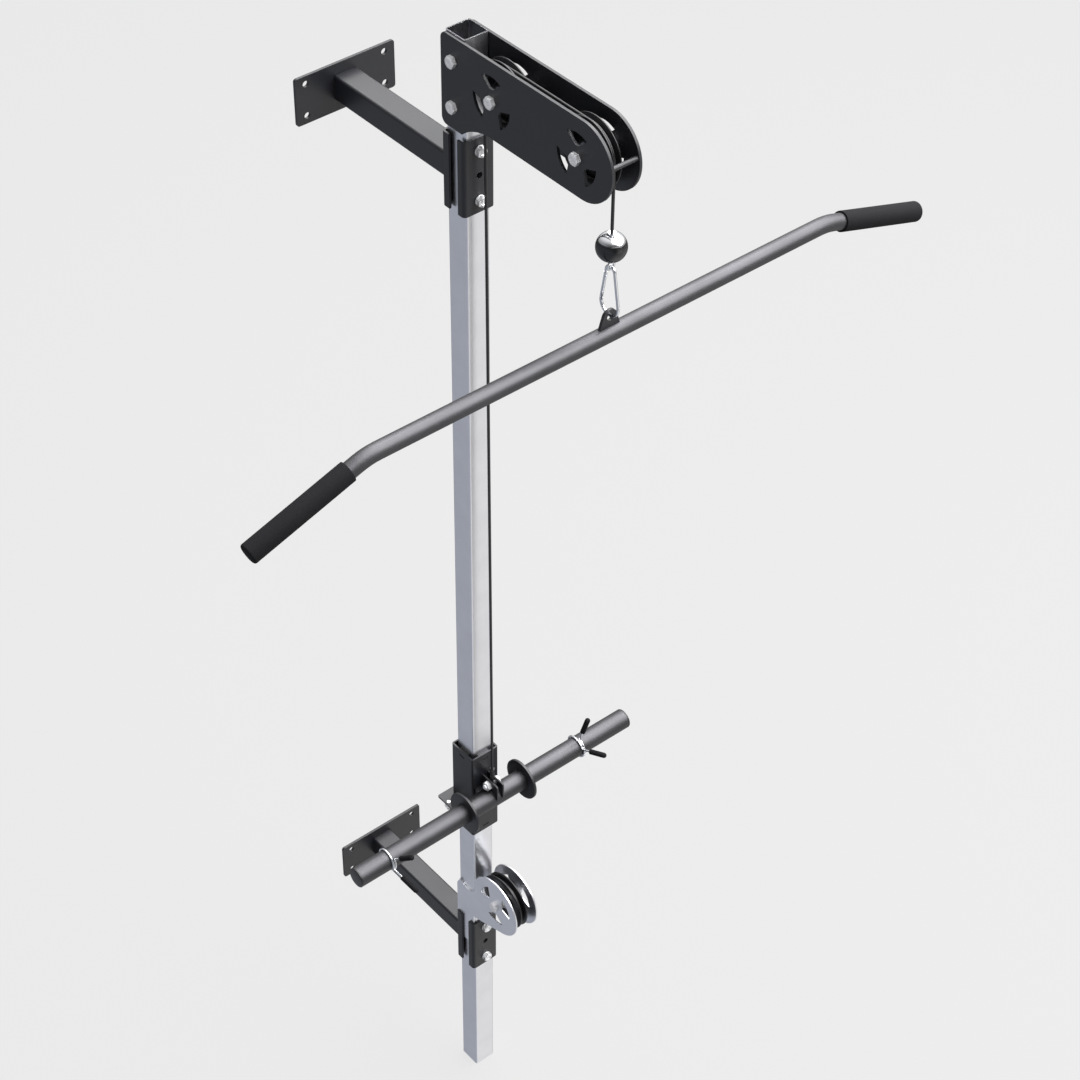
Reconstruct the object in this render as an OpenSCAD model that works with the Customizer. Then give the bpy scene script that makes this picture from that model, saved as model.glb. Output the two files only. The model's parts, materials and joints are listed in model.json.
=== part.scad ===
// Wall-mounted pulldown tower: a guide post on two wall brackets, a pulley head,
// a low pulley, a plate-loaded carriage and a cable that carries a pulldown bar.
// Origin: centre of the upper wall plate's hole pattern, on the wall. The wall is the plane y = 0,
// the tower stands out towards -Y, and +Z is up. Millimetres.

/* [Guide post] */
// Outside width of the square guide post
tube_w = 45; // [44:1:46]
// Wall thickness of the guide post
tube_wall = 2; // [1.5:0.5:3]
// Outside corner radius of the guide post
tube_corner = 4; // [3.5:0.5:6]
// Length of the guide post
post_len = 2370; // [2300:10:2500]
// Distance from the wall to the axis of the guide post
stand_off = 310; // [260:10:400]
// Height of the post's top end above the upper bracket's centre
post_rise = 233; // [233:1:260]

/* [Wall brackets] */
// Distance between the upper and the lower bracket's centres
bracket_gap = 1760; // [1740:10:1800]
// Width of a wall plate
wall_plate_w = 191; // [180:1:220]
// Height of a wall plate
wall_plate_h = 84; // [80:1:110]
// Thickness of a wall plate
wall_plate_t = 5; // [4:1:8]
// Corner radius of a wall plate
wall_plate_corner = 5; // [2:1:8]
// Spacing of the wall holes across
hole_dx = 151; // [140:1:155]
// Spacing of the wall holes up and down
hole_dz = 56; // [50:1:60]
// Diameter of a wall hole
hole_d = 11; // [9:1:13]
// Outside width of the square bracket arm
arm_w = 45; // [40:1:50]
// Wall thickness of the bracket arm
arm_wall = 3; // [2:0.5:4]
// Outside corner radius of the bracket arm
arm_corner = 5; // [4.5:0.5:8]

/* [Post clamps] */
// Height of both clamp channels
channel_h = 131; // [120:1:140]
// Sheet thickness of the clamp channels
channel_t = 4; // [3:0.5:5]
// Outside bend radius of the clamp channels
channel_bend = 7; // [6:0.5:9]
// Distance from the post's axis back to the tips of the rear channel's legs
rear_tip = 9; // [6:0.5:12]
// Distance from the post's axis to the tips of the front channel's legs
front_tip = 11; // [9:0.5:13]
// Gap between a channel's leg and what lies on the post's side
leg_gap = 0.3; // [0.2:0.1:0.6]
// Spacing of the two clamp bolts
clamp_bolt_dz = 87; // [80:1:95]
// Clamp bolt diameter
clamp_bolt_d = 10; // [10:1:12]
// Clamp bolt head and nut size across flats
clamp_af = 16; // [16:1:19]
// Thickness of the clamp bolts' heads and nuts
clamp_head_t = 7.5; // [6:0.5:9]
// Washer thickness
washer_t = 2; // [1.5:0.5:3]
// Washer diameter
washer_d = 18; // [18:1:24]

/* [Pulley head] */
// Thickness of a head plate
head_t = 5; // [4:0.5:6]
// Height of a head plate's straight part, which ends in a round nose
head_h = 126.5; // [122:0.5:134]
// Distance from the post's top end down to the head plates' top edge
head_drop = 2; // [0:0.5:4]
// How far the head plates reach behind the post
head_lap = 4.5; // [2:0.5:8]
// Radius of the head plates' rear corners
head_corner = 12; // [8:1:16]
// Depth of the foot below the head plates' lower edge, at the post
head_foot = 26.5; // [22:0.5:28]
// Radius of the hollow between the foot and the lower edge
head_hollow = 100; // [80:5:120]
// Distance from the nose's centre back to the front axle
nose_reach = 12; // [8:1:20]
// Distance between the two head axles
pulley_span = 186; // [150:2:240]
// Distance from the post's top end down to the head axles
axle_drop = 67.5; // [62:0.5:72]
// Distance from the post's top end down to the upper head bolt
head_bolt_drop = 42; // [38:1:46]
// Distance between the two head bolts
head_bolt_gap = 75.5; // [70:0.5:80]
// Diameter of the head bolts and the axle bolts
axle_d = 12; // [10:1:14]
// Head and nut size of those bolts across flats
axle_af = 18; // [16:1:21]
// Thickness of those bolts' heads and nuts
axle_head_t = 7.5; // [6:0.5:10]
// Diameter of the rod that keeps the cable in the front pulley
guard_rod_d = 8; // [6:1:9]
// Distance from the rod's centre to the nose's edge
guard_rod_inset = 5.5; // [5:0.5:8]
// Angle of the rod above the nose's centre, in degrees
guard_rod_angle = 12; // [5:1:30]

/* [Pulleys] */
// Outside diameter of a pulley
pulley_d = 112; // [104:1:116]
// Width of a pulley's rim and hub
pulley_w = 16; // [14:1:20]
// Depth from the rim's edge to the cable's centre line
groove_depth = 8; // [7:0.5:10]
// Width of the groove's mouth
groove_mouth = 11; // [10:0.5:12]
// Thickness of the disc between a pulley's hub and rim
pulley_web = 8; // [5:1:10]
// Radial height of a pulley's rim
pulley_rim = 17; // [15:1:20]
// Wall of a pulley's hub, outside its bearing
pulley_hub = 5; // [4:1:7]
// Outside diameter of a pulley's bearing
bearing_d = 35; // [32:1:38]
// Width of a pulley's bearing
bearing_w = 14; // [12:1:14]
// Outside diameter of an axle spacer
spacer_d = 20; // [19:1:24]
// Outer radius of the three windows that lighten each side plate
window_r = 41.5; // [38:0.5:44]
// Radius at which a window starts, next to the axle
window_in = 21; // [19:1:26]
// Width of a window where it starts
window_neck = 8; // [6:1:12]
// Angle that a window spans along its outer arc, in degrees
window_span = 60; // [50:2:66]

/* [Low pulley] */
// Height of the low axle above the lower bracket's centre
low_axle_up = 177; // [170:1:200]
// Thickness of a low side plate
low_t = 3; // [2:0.5:4]
// Radius of a low side plate's disc
low_disc_r = 62.5; // [60:0.5:66]
// Radius of the notch between the disc and the tail
low_notch_r = 24; // [20:1:26]
// Depth of that notch below the low axle
low_notch_drop = 25; // [22:1:30]
// Slope of the low side plate's lower edge, in degrees
low_slope = 20; // [16:1:24]

/* [Carriage] */
// Outside width of the square carriage sleeve
sleeve_w = 60; // [59:1:64]
// Wall thickness of the carriage sleeve
sleeve_wall = 3; // [2:0.5:3.5]
// Outside corner radius of the carriage sleeve
sleeve_corner = 4; // [4:0.5:6]
// Height of the carriage sleeve
sleeve_h = 200; // [190:5:220]
// Height of the sleeve's lower end above the lower bracket's centre, at rest
carriage_rest = 327; // [300:1:400]
// Length of the load bar
load_bar_len = 626; // [560:2:700]
// Outside diameter of the load bar
load_bar_d = 38; // [34:1:42]
// Wall thickness of the load bar
load_bar_wall = 4; // [3:0.5:5]
// Height of the load bar's axis above the sleeve's lower end
load_bar_up = 109; // [95:1:120]
// Gap between the sleeve's face and the load bar
saddle_gap = 5; // [3:0.5:8]
// Width of the saddle that carries the load bar
saddle_w = 50; // [40:1:56]
// Height of that saddle
saddle_h = 30; // [24:1:36]
// Distance between the flanges' centres
flange_gap = 132; // [120:2:150]
// Diameter of the flanges
flange_d = 80; // [70:1:90]
// Thickness of the flanges
flange_t = 5; // [4:0.5:8]
// Thickness of the end caps' heads
cap_t = 3; // [2:0.5:5]
// Depth that the end caps plug in
cap_depth = 18; // [10:1:25]
// Height of the lug bolt above the load bar's axis
lug_up = 30; // [30:0.5:34]
// Distance from the sleeve's face to the lug bolt
lug_out = 20; // [18:0.5:24]
// Thickness of a lug plate
lug_t = 3; // [3:0.5:5]
// Gap between the two lug plates
lug_gap = 10; // [10:0.5:16]
// Distance from the lug bolt up to the lug plates' upper edge
lug_margin = 12; // [11:0.5:20]
// Distance from the lug bolt to the lug plates' front edge
lug_front = 24; // [14:0.5:28]
// Diameter of the lug bolt
lug_bolt_d = 10; // [8:1:10]
// Lug bolt head and nut size across flats
lug_af = 16; // [15:1:17]
// Height of the carriage apron above the sleeve's lower end
apron_up = 58; // [40:1:70]
// Thickness of the carriage apron
apron_t = 4; // [3:0.5:6]
// How far the apron reaches beyond the sleeve's sides
apron_side = 23; // [20:1:30]
// How far the apron reaches behind the sleeve
apron_rear = 16; // [14:1:20]
// Size of a glide pad up and down
pad_h = 20; // [16:1:40]
// Width of a glide pad
pad_w = 24; // [18:1:30]
// Distance from the sleeve's end to its glide pads
pad_inset = 2; // [2:1:10]
// Gap between a glide pad and the post
pad_gap = 0.3; // [0.2:0.1:0.5]
// Length of the slot that locates a glide pad
pad_slot = 13; // [8:1:16]
// Diameter of the rubber stop below the carriage
stop_d = 20; // [16:1:26]
// How far the rubber stop stands out behind the post
stop_len = 15; // [12:1:20]

/* [Cable] */
// Diameter of the coated cable
cable_d = 5; // [4.5:0.5:6]
// Distance from the post's front face to the cable, at the rear pulley
cable_gap = 17.5; // [16:0.5:22]
// Length of the crimped ferrule above the cable's eye
ferrule_len = 24; // [18:1:30]
// Diameter of the ferrule
ferrule_d = 9; // [8:0.5:12]
// Distance from the lug bolt's centre up to the ferrule
ferrule_up = 15; // [14:0.5:18]

/* [Ball stop and snap hook] */
// Distance from the head axles down to the ball's centre
ball_drop = 133; // [125:1:150]
// Diameter of the ball stop
ball_d = 46.5; // [44:0.5:50]
// Height of the cap's edge above the ball's centre, as a share of the radius
cap_share = 0.52; // [0.4:0.02:0.6]
// Diameter of the stem through the ball
stem_d = 13; // [12:0.5:15]
// Height that the stem stands out of the ball's top
stem_out = 1; // [0.5:0.5:6]
// Diameter of the swivel's shank
shank_d = 5; // [4:0.5:5.5]
// Diameter of the swivel's head, inside the stem
swivel_head_d = 9; // [8:0.5:9.5]
// Wire diameter of the snap hook
hook_wire = 5; // [4:0.5:5.5]
// Bend radius of the snap hook's narrow end, to the wire's centre
hook_top_r = 9; // [8:0.5:11]
// Bend radius of the snap hook's wide end, to the wire's centre
hook_low_r = 18.5; // [16:0.5:21]
// Distance from wire centre to wire centre over the snap hook's length
hook_len = 84; // [76:1:96]

/* [Pulldown bar] */
// Length of the pulldown bar from end to end, across
bar_span = 1280; // [1100:2:1400]
// Diameter of the pulldown bar
bar_d = 27; // [22:1:28]
// Wall thickness of the pulldown bar
bar_wall = 2.5; // [2:0.5:4]
// Distance from each bend's corner to that end of the bar, across
end_run = 204; // [160:2:240]
// Angle of the ends below the middle, in degrees
bend_angle = 18; // [10:1:30]
// Bend radius to the tube's centre line
bend_r = 110; // [70:5:160]
// Diameter of the grips
grip_d = 33; // [31:1:36]
// Bare length of the bar between a bend and its grip
grip_bare = 16; // [2:0.5:30]
// Thickness of the grips' closed ends
grip_end = 4; // [3:0.5:6]
// Chamfer of that end's rim
grip_chamfer = 3; // [1:0.5:5]
// Height of the bar's lug above the tube's top
bar_lug_h = 30; // [28:0.5:36]
// Width of the bar's lug at the tube
bar_lug_w = 38; // [34:1:44]
// Thickness of the bar's lug
bar_lug_t = 5; // [4:0.5:6]
// Radius of the lug's round top
bar_lug_r = 13; // [12:0.5:15]
// Diameter of the lug's hole
bar_lug_hole = 12; // [11:0.5:14]

/* [Spring collars] */
// Distance from the load bar's left end to the left collar's coil
collar_left_in = 70; // [55:1:130]
// Distance from the load bar's right end to the right collar's coil
collar_right_in = 116; // [55:1:150]
// Wire diameter of a collar
collar_wire = 4; // [3:0.5:5]
// Gap between a collar's coil and the load bar
collar_gap = 0.3; // [0.2:0.1:0.6]
// Turns of a collar's coil
collar_turns = 1.08; // [1.04:0.04:3]
// Step from one turn to the next
collar_pitch = 4.8; // [4.6:0.1:6]
// Bend radius between a collar's coil and its arms, to the wire's centre
collar_bend_r = 4.5; // [4:0.5:8]
// Length of a collar's bare arm from that bend to the grip
collar_arm = 18; // [10:1:24]
// Lean of the arms along the load bar, in degrees
collar_lean = 7; // [0:1:40]
// Length of a collar's grip
collar_grip_len = 40; // [30:1:44]
// Diameter of a collar's grip
collar_grip_d = 10; // [9:0.5:13]
// Turn of the left collar about the load bar, in degrees
collar_turn_left = 151; // [0:1:359]
// Turn of the right collar about the load bar, in degrees
collar_turn_right = 115; // [0:1:359]

/* [Hidden] */
$fn = 64;

// Clearances: running fit, bolt in a drilled hole, fixed fit, and free air between moving pieces
run_gap = 0.05;
drill_gap = 0.25;
fit_gap = 0.05;
free_gap = 0.3;
// Overlap that makes a cut or a union pass cleanly through a face
eps = 1;
// A straight run or a round end is thinner than the bend it joins by this much, and enters it this far
run_step = 0.1;
run_lap = 0.5;

post_half = tube_w / 2;
upper_z = -post_rise;
lower_z = -post_rise - bracket_gap;
leg_in = post_half + low_t + leg_gap;
leg_out = leg_in + channel_t;
web_out = post_half + channel_t;

pitch_r = pulley_d / 2 - groove_depth;
rear_axle_y = -(post_half + cable_gap + pitch_r);
front_axle_y = rear_axle_y - pulley_span;
low_axle_z = lower_z + low_axle_up;
nose_r = head_h / 2;
nose_y = front_axle_y - nose_reach;
nose_z = -head_drop - nose_r;
head_low_z = -head_drop - head_h;
head_foot_z = head_low_z - head_foot;
head_rear_y = post_half + head_lap;
head_out = post_half + head_t;
window_angles = [90, 210, 330];
low_horn = 20;
lug_foot = 8;
pad_slot_w = 4;
pad_slot_corner = 1.5;
stop_bolt_af = 13;
stop_bolt_head = 5;
stop_bolt_past = 8;

sleeve_half = sleeve_w / 2;
sleeve_in = sleeve_half - sleeve_wall;
sleeve_low = lower_z + carriage_rest;
load_bar_r = load_bar_d / 2;
load_bar_y = -(sleeve_half + saddle_gap + load_bar_r);
load_bar_z = sleeve_low + load_bar_up;
lug_y = -(sleeve_half + lug_out);
lug_z = load_bar_z + lug_up;

// The cable leaves the rear pulley on the line from the lug bolt that just touches the pitch circle
cable_dist = norm([lug_y - rear_axle_y, lug_z + axle_drop]);
cable_off = atan2(lug_z + axle_drop, lug_y - rear_axle_y) + acos(pitch_r / cable_dist);
cable_top = [rear_axle_y + pitch_r * cos(cable_off), -axle_drop + pitch_r * sin(cable_off)];
cable_run = norm([lug_y - cable_top[0], lug_z - cable_top[1]]);
drop_y = front_axle_y - pitch_r;

ball_r = ball_d / 2;
ball_z = -axle_drop - ball_drop;
cap_z = ball_r * cap_share;
swivel_head_t = 4;
swivel_room = 8;
eye_wire = 3.5;
eye_r = 6;
eye_z = ball_z - ball_r - 3.5 - eye_r;
hook_top_z = eye_z - (eye_r - eye_wire / 2) + hook_wire / 2 + free_gap;
hook_low_z = hook_top_z - hook_len;
hook_top_c = hook_top_z - hook_top_r;
hook_low_c = hook_low_z + hook_low_r;
hook_lean = asin((hook_low_r - hook_top_r) / (hook_top_c - hook_low_c));
hook_side = (hook_top_c - hook_low_c) * cos(hook_lean);
gate_from = 10;
gate_tip_room = 8;
gate_to = hook_side - gate_tip_room;

bar_r = bar_d / 2;
bar_hole_z = hook_low_z - (bar_lug_hole - hook_wire) / 2 + free_gap;
bar_top_z = bar_hole_z + bar_lug_r - bar_lug_h;
bar_z = bar_top_z - bar_r;
bend_half = round(100 * bend_r * tan(bend_angle / 2)) / 100;
bar_mid_half = bar_span / 2 - end_run - bend_half;
bar_end_len = end_run / cos(bend_angle) - bend_half - grip_end;
grip_len = bar_end_len + grip_end - grip_bare;

// Two-dimensional helpers

module round_rect(w, h, r) {
    square([w - 2 * r, h], center = true);
    square([w, h - 2 * r], center = true);
    for (x = [-1, 1], y = [-1, 1])
        translate([x * (w / 2 - r), y * (h / 2 - r)]) circle(r = r);
}

module square_ring(w, wall, corner) {
    difference() {
        round_rect(w, w, corner);
        round_rect(w - 2 * wall, w - 2 * wall, corner - wall);
    }
}

// A bent channel's section: web towards +y at the given depth, open side at y = 0
module channel_section(w, depth) {
    intersection() {
        difference() {
            round_rect(w, 2 * depth, channel_bend);
            round_rect(w - 2 * channel_t, 2 * (depth - channel_t), channel_bend - channel_t);
        }
        translate([-w, 0]) square([2 * w, depth + eps]);
    }
}

// One window about the origin, with an arc outside and two straight sides that draw in
module window(mid) {
    inner = [window_in, window_neck / 2];
    outer = 2 * window_r * [cos(window_span / 2), sin(window_span / 2)] - inner;
    rotate(mid) intersection() {
        circle(r = window_r);
        polygon([
            [inner[0], -inner[1]],
            [outer[0], -outer[1]],
            outer,
            inner
        ]);
    }
}

module window_ring(turn) {
    for (a = window_angles) window(a + turn);
}

// Three-dimensional helpers

// The post's own frame: its axis, with z = 0 at its top end
module at_post() {
    translate([0, -stand_off, post_rise]) children();
}

// Stands a drawing of y and z values up as a plate from x0 to x0 + t
module side_plate(x0, t) {
    translate([x0, 0, 0]) rotate([90, 0, 90]) linear_extrude(t) children();
}

// A round bar along X, centred
module x_bar(d, len) {
    rotate([0, 90, 0]) cylinder(d = d, h = len, center = true);
}

// A round bar along Y from y0 to y1
module y_bar(d, y0, y1) {
    translate([0, y0, 0]) rotate([-90, 0, 0]) cylinder(d = d, h = y1 - y0);
}

module hex_prism(af, h) {
    cylinder(d = af / cos(30), h = h, $fn = 6);
}

module ring_disc(d, bore, h) {
    difference() {
        cylinder(d = d, h = h);
        translate([0, 0, -eps]) cylinder(d = bore, h = h + 2 * eps);
    }
}

module hex_nut(af, bore, h) {
    difference() {
        hex_prism(af, h);
        translate([0, 0, -eps]) cylinder(d = bore, h = h + 2 * eps);
    }
}

// A bolt along X: head outside x = -grip_half, shank through to the far nut and a little past it
module x_bolt(d, af, head_t, grip_half, nut_t) {
    translate([-grip_half, 0, 0]) rotate([0, 90, 0]) {
        mirror([0, 0, 1]) hex_prism(af, head_t);
        cylinder(d = d, h = 2 * grip_half + nut_t + 3);
    }
}

module x_nut(d, af, nut_t, grip_half) {
    translate([grip_half, 0, 0]) rotate([0, 90, 0]) hex_nut(af, d + 2 * fit_gap, nut_t);
}

// Guide post

module post_tube() {
    color("silver") at_post() difference() {
        translate([0, 0, -post_len]) linear_extrude(post_len) square_ring(tube_w, tube_wall, tube_corner);
        for (i = [0, 1])
            translate([0, 0, -head_bolt_drop - i * head_bolt_gap]) x_bar(axle_d + 2 * drill_gap, tube_w + 2 * eps);
        for (z = [upper_z, lower_z], i = [-1, 0, 1])
            translate([0, 0, z + i * clamp_bolt_dz / 2])
                y_bar(clamp_bolt_d + 2 * drill_gap, -post_half - eps, post_half + eps);
        translate([0, 0, stop_z()]) y_bar(stop_bolt_d() + 2 * drill_gap, 0, post_half + eps);
    }
}

// Wall brackets

module wall_plate(z) {
    color("dimgray") translate([0, 0, z]) rotate([90, 0, 0]) difference() {
        linear_extrude(wall_plate_t) round_rect(wall_plate_w, wall_plate_h, wall_plate_corner);
        for (x = [-1, 1], y = [-1, 1])
            translate([x * hole_dx / 2, y * hole_dz / 2, -eps]) cylinder(d = hole_d, h = wall_plate_t + 2 * eps);
    }
}

module upper_wall_plate() {
    wall_plate(0);
}

module lower_wall_plate() {
    wall_plate(-bracket_gap);
}

module arm_tube(z) {
    color("dimgray") translate([0, -wall_plate_t, z]) rotate([90, 0, 0])
        linear_extrude(stand_off - wall_plate_t - web_out) square_ring(arm_w, arm_wall, arm_corner);
}

module upper_arm_tube() {
    arm_tube(0);
}

module lower_arm_tube() {
    arm_tube(-bracket_gap);
}

// Post clamps

module clamp_holes(z, y0, y1) {
    for (i = [-1, 0, 1])
        translate([0, 0, z + i * clamp_bolt_dz / 2]) y_bar(clamp_bolt_d + 2 * drill_gap, y0, y1);
}

module rear_channel(z) {
    color("dimgray") at_post() difference() {
        translate([0, rear_tip, z - channel_h / 2])
            linear_extrude(channel_h) channel_section(2 * leg_out, web_out - rear_tip);
        clamp_holes(z, 0, web_out + eps);
    }
}

module front_channel(z) {
    color("dimgray") at_post() difference() {
        translate([0, -front_tip, z - channel_h / 2])
            mirror([0, 1, 0]) linear_extrude(channel_h) channel_section(2 * leg_out, web_out - front_tip);
        clamp_holes(z, -web_out - eps, 0);
    }
}

module upper_rear_channel() {
    rear_channel(upper_z);
}

module lower_rear_channel() {
    rear_channel(lower_z);
}

module upper_front_channel() {
    front_channel(upper_z);
}

module lower_front_channel() {
    front_channel(lower_z);
}

module at_clamp_bolts() {
    at_post() for (z = [upper_z, lower_z], i = [-1, 1])
        translate([0, 0, z + i * clamp_bolt_dz / 2]) children();
}

module clamp_bolts() {
    color("lightgray") at_clamp_bolts() {
        y_bar(clamp_bolt_d, -web_out - washer_t, web_out + washer_t + clamp_head_t + 3);
        translate([0, -web_out - washer_t, 0]) rotate([90, 0, 0]) hex_prism(clamp_af, clamp_head_t);
    }
}

module clamp_washers() {
    color("lightgray") at_clamp_bolts() {
        translate([0, -web_out, 0]) rotate([90, 0, 0])
            ring_disc(washer_d, clamp_bolt_d + 2 * fit_gap, washer_t);
        translate([0, web_out, 0]) rotate([-90, 0, 0])
            ring_disc(washer_d, clamp_bolt_d + 2 * fit_gap, washer_t);
    }
}

module clamp_nuts() {
    color("lightgray") at_clamp_bolts()
        translate([0, web_out + washer_t, 0]) rotate([-90, 0, 0])
            hex_nut(clamp_af, clamp_bolt_d + 2 * fit_gap, clamp_head_t);
}

// Pulley head

module head_outline() {
    difference() {
        union() {
            translate([nose_y, nose_z]) circle(r = nose_r);
            translate([nose_y, head_low_z]) square([head_rear_y - head_corner - nose_y, head_h]);
            translate([0, head_foot_z + head_corner])
                square([head_rear_y, head_h + head_foot - 2 * head_corner]);
            translate([head_rear_y - head_corner, -head_drop - head_corner]) circle(r = head_corner);
            translate([head_rear_y - head_corner, head_foot_z + head_corner]) circle(r = head_corner);
            translate([rear_axle_y, head_foot_z])
                square([head_rear_y - head_corner - rear_axle_y, head_foot + eps]);
        }
        translate([rear_axle_y, head_low_z - head_hollow + 2 * run_step]) circle(r = head_hollow);
    }
}

module head_plate(x0) {
    color("dimgray") at_post() side_plate(x0, head_t) difference() {
        head_outline();
        for (y = [rear_axle_y, front_axle_y]) translate([y, -axle_drop]) {
            circle(d = axle_d + 2 * drill_gap);
            window_ring(0);
        }
        for (i = [0, 1])
            translate([0, -head_bolt_drop - i * head_bolt_gap]) circle(d = axle_d + 2 * drill_gap);
    }
}

module head_plate_left() {
    head_plate(-head_out);
}

module head_plate_right() {
    head_plate(post_half);
}

module at_head_bolts() {
    at_post() for (i = [0, 1])
        translate([0, 0, -head_bolt_drop - i * head_bolt_gap]) children();
}

module head_bolts() {
    color("lightgray") at_head_bolts() x_bolt(axle_d, axle_af, axle_head_t, head_out, axle_head_t);
}

module head_nuts() {
    color("lightgray") at_head_bolts() x_nut(axle_d, axle_af, axle_head_t, head_out);
}

// Each axle: its y, its z and the outer face of its side plates
axles = [
    [rear_axle_y, -axle_drop, head_out],
    [front_axle_y, -axle_drop, head_out],
    [rear_axle_y, low_axle_z, post_half + low_t]
];

module axle_bolts() {
    color("lightgray") at_post() for (a = axles)
        translate([0, a[0], a[1]]) x_bolt(axle_d, axle_af, axle_head_t, a[2], axle_head_t);
}

module axle_nuts() {
    color("lightgray") at_post() for (a = axles)
        translate([0, a[0], a[1]]) x_nut(axle_d, axle_af, axle_head_t, a[2]);
}

module axle_spacers() {
    color("lightgray") at_post() for (a = axles, side = [-1, 1])
        translate([0, a[0], a[1]]) rotate([0, side * 90, 0])
            translate([0, 0, bearing_w / 2 + free_gap])
                ring_disc(spacer_d, axle_d + 2 * fit_gap, post_half - bearing_w / 2 - free_gap);
}

module cable_guard_rod() {
    reach = nose_r - guard_rod_inset;
    color("gray") at_post()
        translate([0, nose_y - reach * cos(guard_rod_angle), nose_z + reach * sin(guard_rod_angle)])
            x_bar(guard_rod_d, tube_w);
}

// Low pulley's side plates, drawn from the low axle

module low_outline() {
    tail_rear = head_rear_y - rear_axle_y;
    tail_in = post_half - rear_axle_y;
    tail_front = -post_half - rear_axle_y;
    clamp_top = channel_h / 2 - low_axle_up + leg_gap;
    bend_room = channel_bend - channel_t;
    notch_y = -rear_axle_y - low_notch_r / 6;
    horn_z = low_notch_r / 2 - low_notch_drop;
    edge = (low_disc_r - run_step) * [-sin(low_slope), -cos(low_slope)];
    difference() {
        union() {
            circle(r = low_disc_r);
            polygon([
                [0, 0],
                edge,
                [tail_front, edge[1] - (tail_front - edge[0]) * tan(low_slope)],
                [tail_front, clamp_top],
                [tail_front + bend_room, clamp_top],
                [tail_front + bend_room, -low_axle_up],
                [tail_in - bend_room, -low_axle_up],
                [tail_in - bend_room, clamp_top],
                [tail_rear, clamp_top],
                [tail_rear, horn_z - low_horn],
                [notch_y + low_notch_r * cos(30), horn_z]
            ]);
        }
        translate([notch_y, low_notch_r - low_notch_drop]) circle(r = low_notch_r);
        circle(d = axle_d + 2 * drill_gap);
        window_ring(180);
    }
}

module low_plate(x0) {
    color("silver") at_post() translate([0, rear_axle_y, low_axle_z]) side_plate(x0, low_t) low_outline();
}

module low_plate_left() {
    low_plate(-post_half - low_t);
}

module low_plate_right() {
    low_plate(post_half);
}

// Pulleys, drawn about the X axis

module wheel_outline() {
    rim_r = pulley_d / 2;
    hub_r = bearing_d / 2;
    difference() {
        union() {
            translate([hub_r, -pulley_w / 2]) square([pulley_hub, pulley_w]);
            translate([hub_r, -pulley_web / 2]) square([rim_r - hub_r - eps, pulley_web]);
            translate([rim_r - pulley_rim, -pulley_w / 2]) square([pulley_rim, pulley_w]);
        }
        translate([pitch_r, 0]) circle(r = cable_d / 2 + free_gap);
        polygon([
            [pitch_r, -cable_d / 2 - free_gap],
            [rim_r + eps, -groove_mouth / 2],
            [rim_r + eps, groove_mouth / 2],
            [pitch_r, cable_d / 2 + free_gap]
        ]);
    }
}

module wheel(y, z) {
    color("#222222") at_post() translate([0, y, z]) rotate([0, 90, 0]) rotate_extrude() wheel_outline();
}

module bearing(y, z) {
    color("lightgray") at_post() translate([-bearing_w / 2, y, z]) rotate([0, 90, 0])
        ring_disc(bearing_d, axle_d + 2 * run_gap, bearing_w);
}

module head_pulley_rear() {
    wheel(rear_axle_y, -axle_drop);
}

module head_bearing_rear() {
    bearing(rear_axle_y, -axle_drop);
}

module head_pulley_front() {
    wheel(front_axle_y, -axle_drop);
}

module head_bearing_front() {
    bearing(front_axle_y, -axle_drop);
}

module low_pulley_wheel() {
    wheel(rear_axle_y, low_axle_z);
}

module low_pulley_bearing() {
    bearing(rear_axle_y, low_axle_z);
}

// Cable

// Part of a ring of cable in the y-z plane about a head axle, starting at its top
module cable_arc(y, sweep) {
    translate([0, y, -axle_drop]) rotate([90, 0, 90]) rotate([0, 0, 90])
        rotate_extrude(angle = sweep) translate([pitch_r, 0]) circle(d = cable_d);
}

module cable_over_pulleys() {
    color("#111111") at_post() {
        cable_arc(rear_axle_y, cable_off - 90);
        translate([0, 0, pitch_r - axle_drop]) y_bar(cable_d, front_axle_y, rear_axle_y);
        cable_arc(front_axle_y, 90);
    }
}

// Moves to the lug bolt and turns z along the rising cable
module along_cable() {
    lean = atan2(cable_top[0] - lug_y, cable_top[1] - lug_z);
    at_post() translate([0, lug_y, lug_z]) rotate([-lean, 0, 0]) children();
}

module cable_rise() {
    color("#111111") along_cable()
        translate([0, 0, ferrule_up + ferrule_len])
            cylinder(d = cable_d, h = cable_run - ferrule_up - ferrule_len);
}

module cable_drop() {
    stem_top = ball_z + ball_r + stem_out;
    color("#111111") at_post() translate([0, drop_y, stem_top]) cylinder(d = cable_d, h = -axle_drop - stem_top);
}

module cable_eye() {
    color("#111111") along_cable() {
        rotate([0, 90, 0]) rotate_extrude() translate([lug_bolt_d / 2 + cable_d / 2 + fit_gap, 0]) circle(d = cable_d);
        translate([0, 0, lug_bolt_d / 2 + cable_d / 2]) cylinder(d = cable_d, h = ferrule_up - lug_bolt_d / 2 - cable_d / 2);
    }
}

module cable_ferrule() {
    color("silver") along_cable() translate([0, 0, ferrule_up]) cylinder(d = ferrule_d, h = ferrule_len);
}

// Carriage

module carriage_sleeve() {
    color("dimgray") at_post() difference() {
        translate([0, 0, sleeve_low]) linear_extrude(sleeve_h)
            square_ring(sleeve_w, sleeve_wall, sleeve_corner);
        at_pads() translate([0, 0, pad_h / 2]) pad_tab(fit_gap);
    }
}

// Each glide pad's place: turned to its wall, at its lower edge
module at_pads() {
    for (z = [sleeve_low + pad_inset, sleeve_low + sleeve_h - pad_inset - pad_h], turn = [0, 90, 180, 270])
        translate([0, 0, z]) rotate([0, 0, turn]) children();
}

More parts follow.
